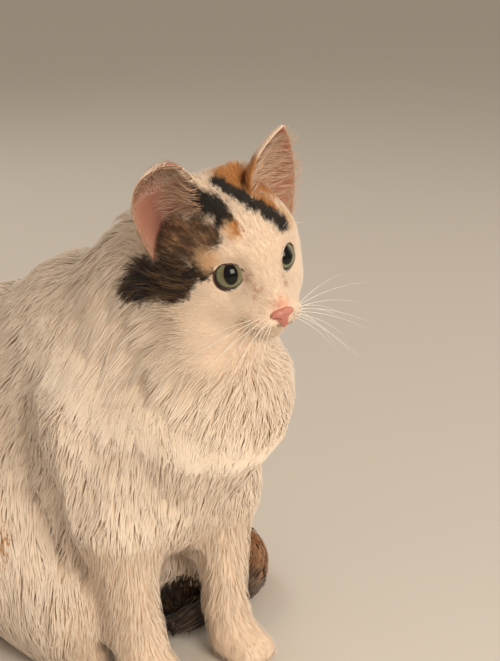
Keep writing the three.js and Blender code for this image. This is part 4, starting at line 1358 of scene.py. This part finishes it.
# ---------------------------------------------------------------- whiskers
# Long white whiskers stand in three rows of four on each pad beside the nose, and three over each
# eye. Each is one stiff hair that tapers from its root and bends down a little. Those on the cat's
# right are longer and hang lower.
ROW_LENGTHS = (0.030, 0.052, 0.066, 0.060)
END_ROWS_SHORTER = 0.07
RIGHT_DROOP = (0.25, 0.4, 0.7)
RIGHT_LONGER = 1.3
BROW_LENGTH = 0.030
BROW_SHORTER = 0.004
LENGTHS_VARY = (0.88, 1.08)
TIP_SHARE = 0.12
WHISKER_HALF = 0.00022
WHISKER_BEND = -0.012
WHISKER_SEED = 3
WHISKER_STEPS = 12
WHISKER_SIDES = 5
WHISKER_DARK = (0.84, 0.78, 0.70)
WHISKER_LIGHT = (0.96, 0.93, 0.88)
whisker_roots, whisker_ways, whisker_lengths = [], [], []
for out in (-1, 1):
    for row in range(3):
        for place in range(4):
            x = out * (8.5 + 3.1 * place)
            y = -25.5 + 3.0 * place + 0.6 * row
            z = -22.5 - 2.6 * row - 0.4 * place
            whisker_roots.append(from_head(np.array((x, y, z)) / 1000))
            droop = RIGHT_DROOP[row] if out < 0 else 0
            way = (out * (1.0 - 0.10 * place), -0.35 + 0.22 * place, 0.10 - 0.36 * row - droop)
            whisker_ways.append(HEAD_AXES @ way)
            whisker_lengths.append(ROW_LENGTHS[place] * (1 - END_ROWS_SHORTER * abs(row - 1))
                                   * (RIGHT_LONGER if out < 0 else 1))
    for brow in range(3):
        whisker_roots.append(from_head(np.array((out * (17 + 3 * brow), 1.0 + 2 * brow, 14.5)) / 1000))
        whisker_ways.append(HEAD_AXES @ (out * (0.25 + 0.3 * brow), -0.35, 1.0))
        whisker_lengths.append(BROW_LENGTH - BROW_SHORTER * brow)

whisker_bases = bpy.data.meshes.new("whisker bases")
whisker_bases.from_pydata([tuple(p) for p in whisker_roots], [], [])
whisker_bases.attributes.new("way", "FLOAT_VECTOR", "POINT").data.foreach_set(
    "vector", np.array(whisker_ways).ravel())
whisker_bases.attributes.new("reach", "FLOAT", "POINT").data.foreach_set("value", whisker_lengths)
whiskers_made = bpy.data.objects.new("whisker bases", whisker_bases)
bpy.context.scene.collection.objects.link(whiskers_made)

whisker_finish, whisker_tree, whisker_shader = material("whisker", roughness=0.35,
                                                        base_color=(0.92, 0.88, 0.80, 1))
whisker_tint = maze(whisker_tree, node(whisker_tree, "ShaderNodeTexCoord").outputs["Object"], 60.0)
whisker_tree.links.new(mixed(whisker_tree, whisker_tint, WHISKER_DARK, WHISKER_LIGHT),
                       whisker_shader.inputs["Base Color"])

whisker_nodes = bpy.data.node_groups.new("whiskers", "GeometryNodeTree")
sockets = {}
for name, way, kind in (("Bases", "INPUT", "Geometry"), ("Thickness", "INPUT", "Float"),
                        ("Bend", "INPUT", "Float"), ("Seed", "INPUT", "Int"),
                        ("Whiskers", "OUTPUT", "Geometry")):
    sockets[name] = whisker_nodes.interface.new_socket(name, in_out=way, socket_type=f"NodeSocket{kind}")
w_in = whisker_nodes.nodes.new("NodeGroupInput").outputs
w_out = whisker_nodes.nodes.new("NodeGroupOutput").inputs


def geometry(kind, **inputs):
    """A node of the whiskers' tree, with its named inputs linked or set."""
    return node(whisker_nodes, kind, **inputs)


# One straight whisker stands on every base, as long as its base says and pointing its way.
straight = geometry("GeometryNodeCurvePrimitiveLine")
straight.inputs["End"].default_value = (0, 0, 1)
stepped = geometry("GeometryNodeResampleCurve", Curve=straight.outputs[0], Count=WHISKER_STEPS)
bases_way = geometry("GeometryNodeInputNamedAttribute", Name="way")
bases_way.data_type = "FLOAT_VECTOR"
bases_reach = geometry("GeometryNodeInputNamedAttribute", Name="reach")
bases_reach.data_type = "FLOAT"
pointing = geometry("FunctionNodeAlignRotationToVector", Vector=bases_way.outputs[0])
pointing.axis = "Z"
chance = geometry("FunctionNodeRandomValue", Seed=w_in["Seed"])
chance.data_type = "FLOAT"
chance.inputs[2].default_value, chance.inputs[3].default_value = LENGTHS_VARY
reach = maths(whisker_nodes, "MULTIPLY", bases_reach.outputs[0], chance.outputs[1])
placed = geometry("GeometryNodeInstanceOnPoints", Points=w_in["Bases"], Instance=stepped.outputs[0],
                  Rotation=pointing.outputs[0], Scale=reach)
real = geometry("GeometryNodeRealizeInstances", Geometry=placed.outputs[0])

# It bends down towards its tip and tapers.
along = geometry("GeometryNodeSplineParameter").outputs["Factor"]
fall = maths(whisker_nodes, "MULTIPLY", maths(whisker_nodes, "POWER", along, 2.0), w_in["Bend"])
down = geometry("ShaderNodeCombineXYZ", Z=fall)
bent = geometry("GeometryNodeSetPosition", Geometry=real.outputs[0], Offset=down.outputs[0])
taper = geometry("ShaderNodeMapRange", Value=along, To_Min=1.0, To_Max=TIP_SHARE)
width = maths(whisker_nodes, "MULTIPLY", taper.outputs[0], w_in["Thickness"])
ring_curve = geometry("GeometryNodeCurvePrimitiveCircle", Resolution=WHISKER_SIDES, Radius=1.0)
solid = geometry("GeometryNodeCurveToMesh", Curve=bent.outputs[0],
                 Profile_Curve=ring_curve.outputs[0], Scale=width)
solid.inputs["Fill Caps"].default_value = True
realized = geometry("GeometryNodeRealizeInstances", Geometry=solid.outputs[0])
painted = geometry("GeometryNodeSetMaterial", Geometry=realized.outputs[0], Material=whisker_finish)
whisker_nodes.links.new(painted.outputs[0], w_out["Whiskers"])

growing = whiskers_made.modifiers.new("whiskers", "NODES")
growing.node_group = whisker_nodes
growing[sockets["Thickness"].identifier] = WHISKER_HALF
growing[sockets["Bend"].identifier] = WHISKER_BEND
growing[sockets["Seed"].identifier] = WHISKER_SEED
bpy.context.view_layer.update()
whisker_mesh = bpy.data.meshes.new_from_object(
    whiskers_made.evaluated_get(bpy.context.evaluated_depsgraph_get()))
bpy.data.objects.remove(whiskers_made)
whisker_mesh.name = "whiskers"
whiskers = bpy.data.objects.new("whiskers", whisker_mesh)
bpy.context.scene.collection.objects.link(whiskers)
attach(whiskers, "root")

size = {"cad": cad_box, "visual": [list(corner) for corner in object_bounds()]}
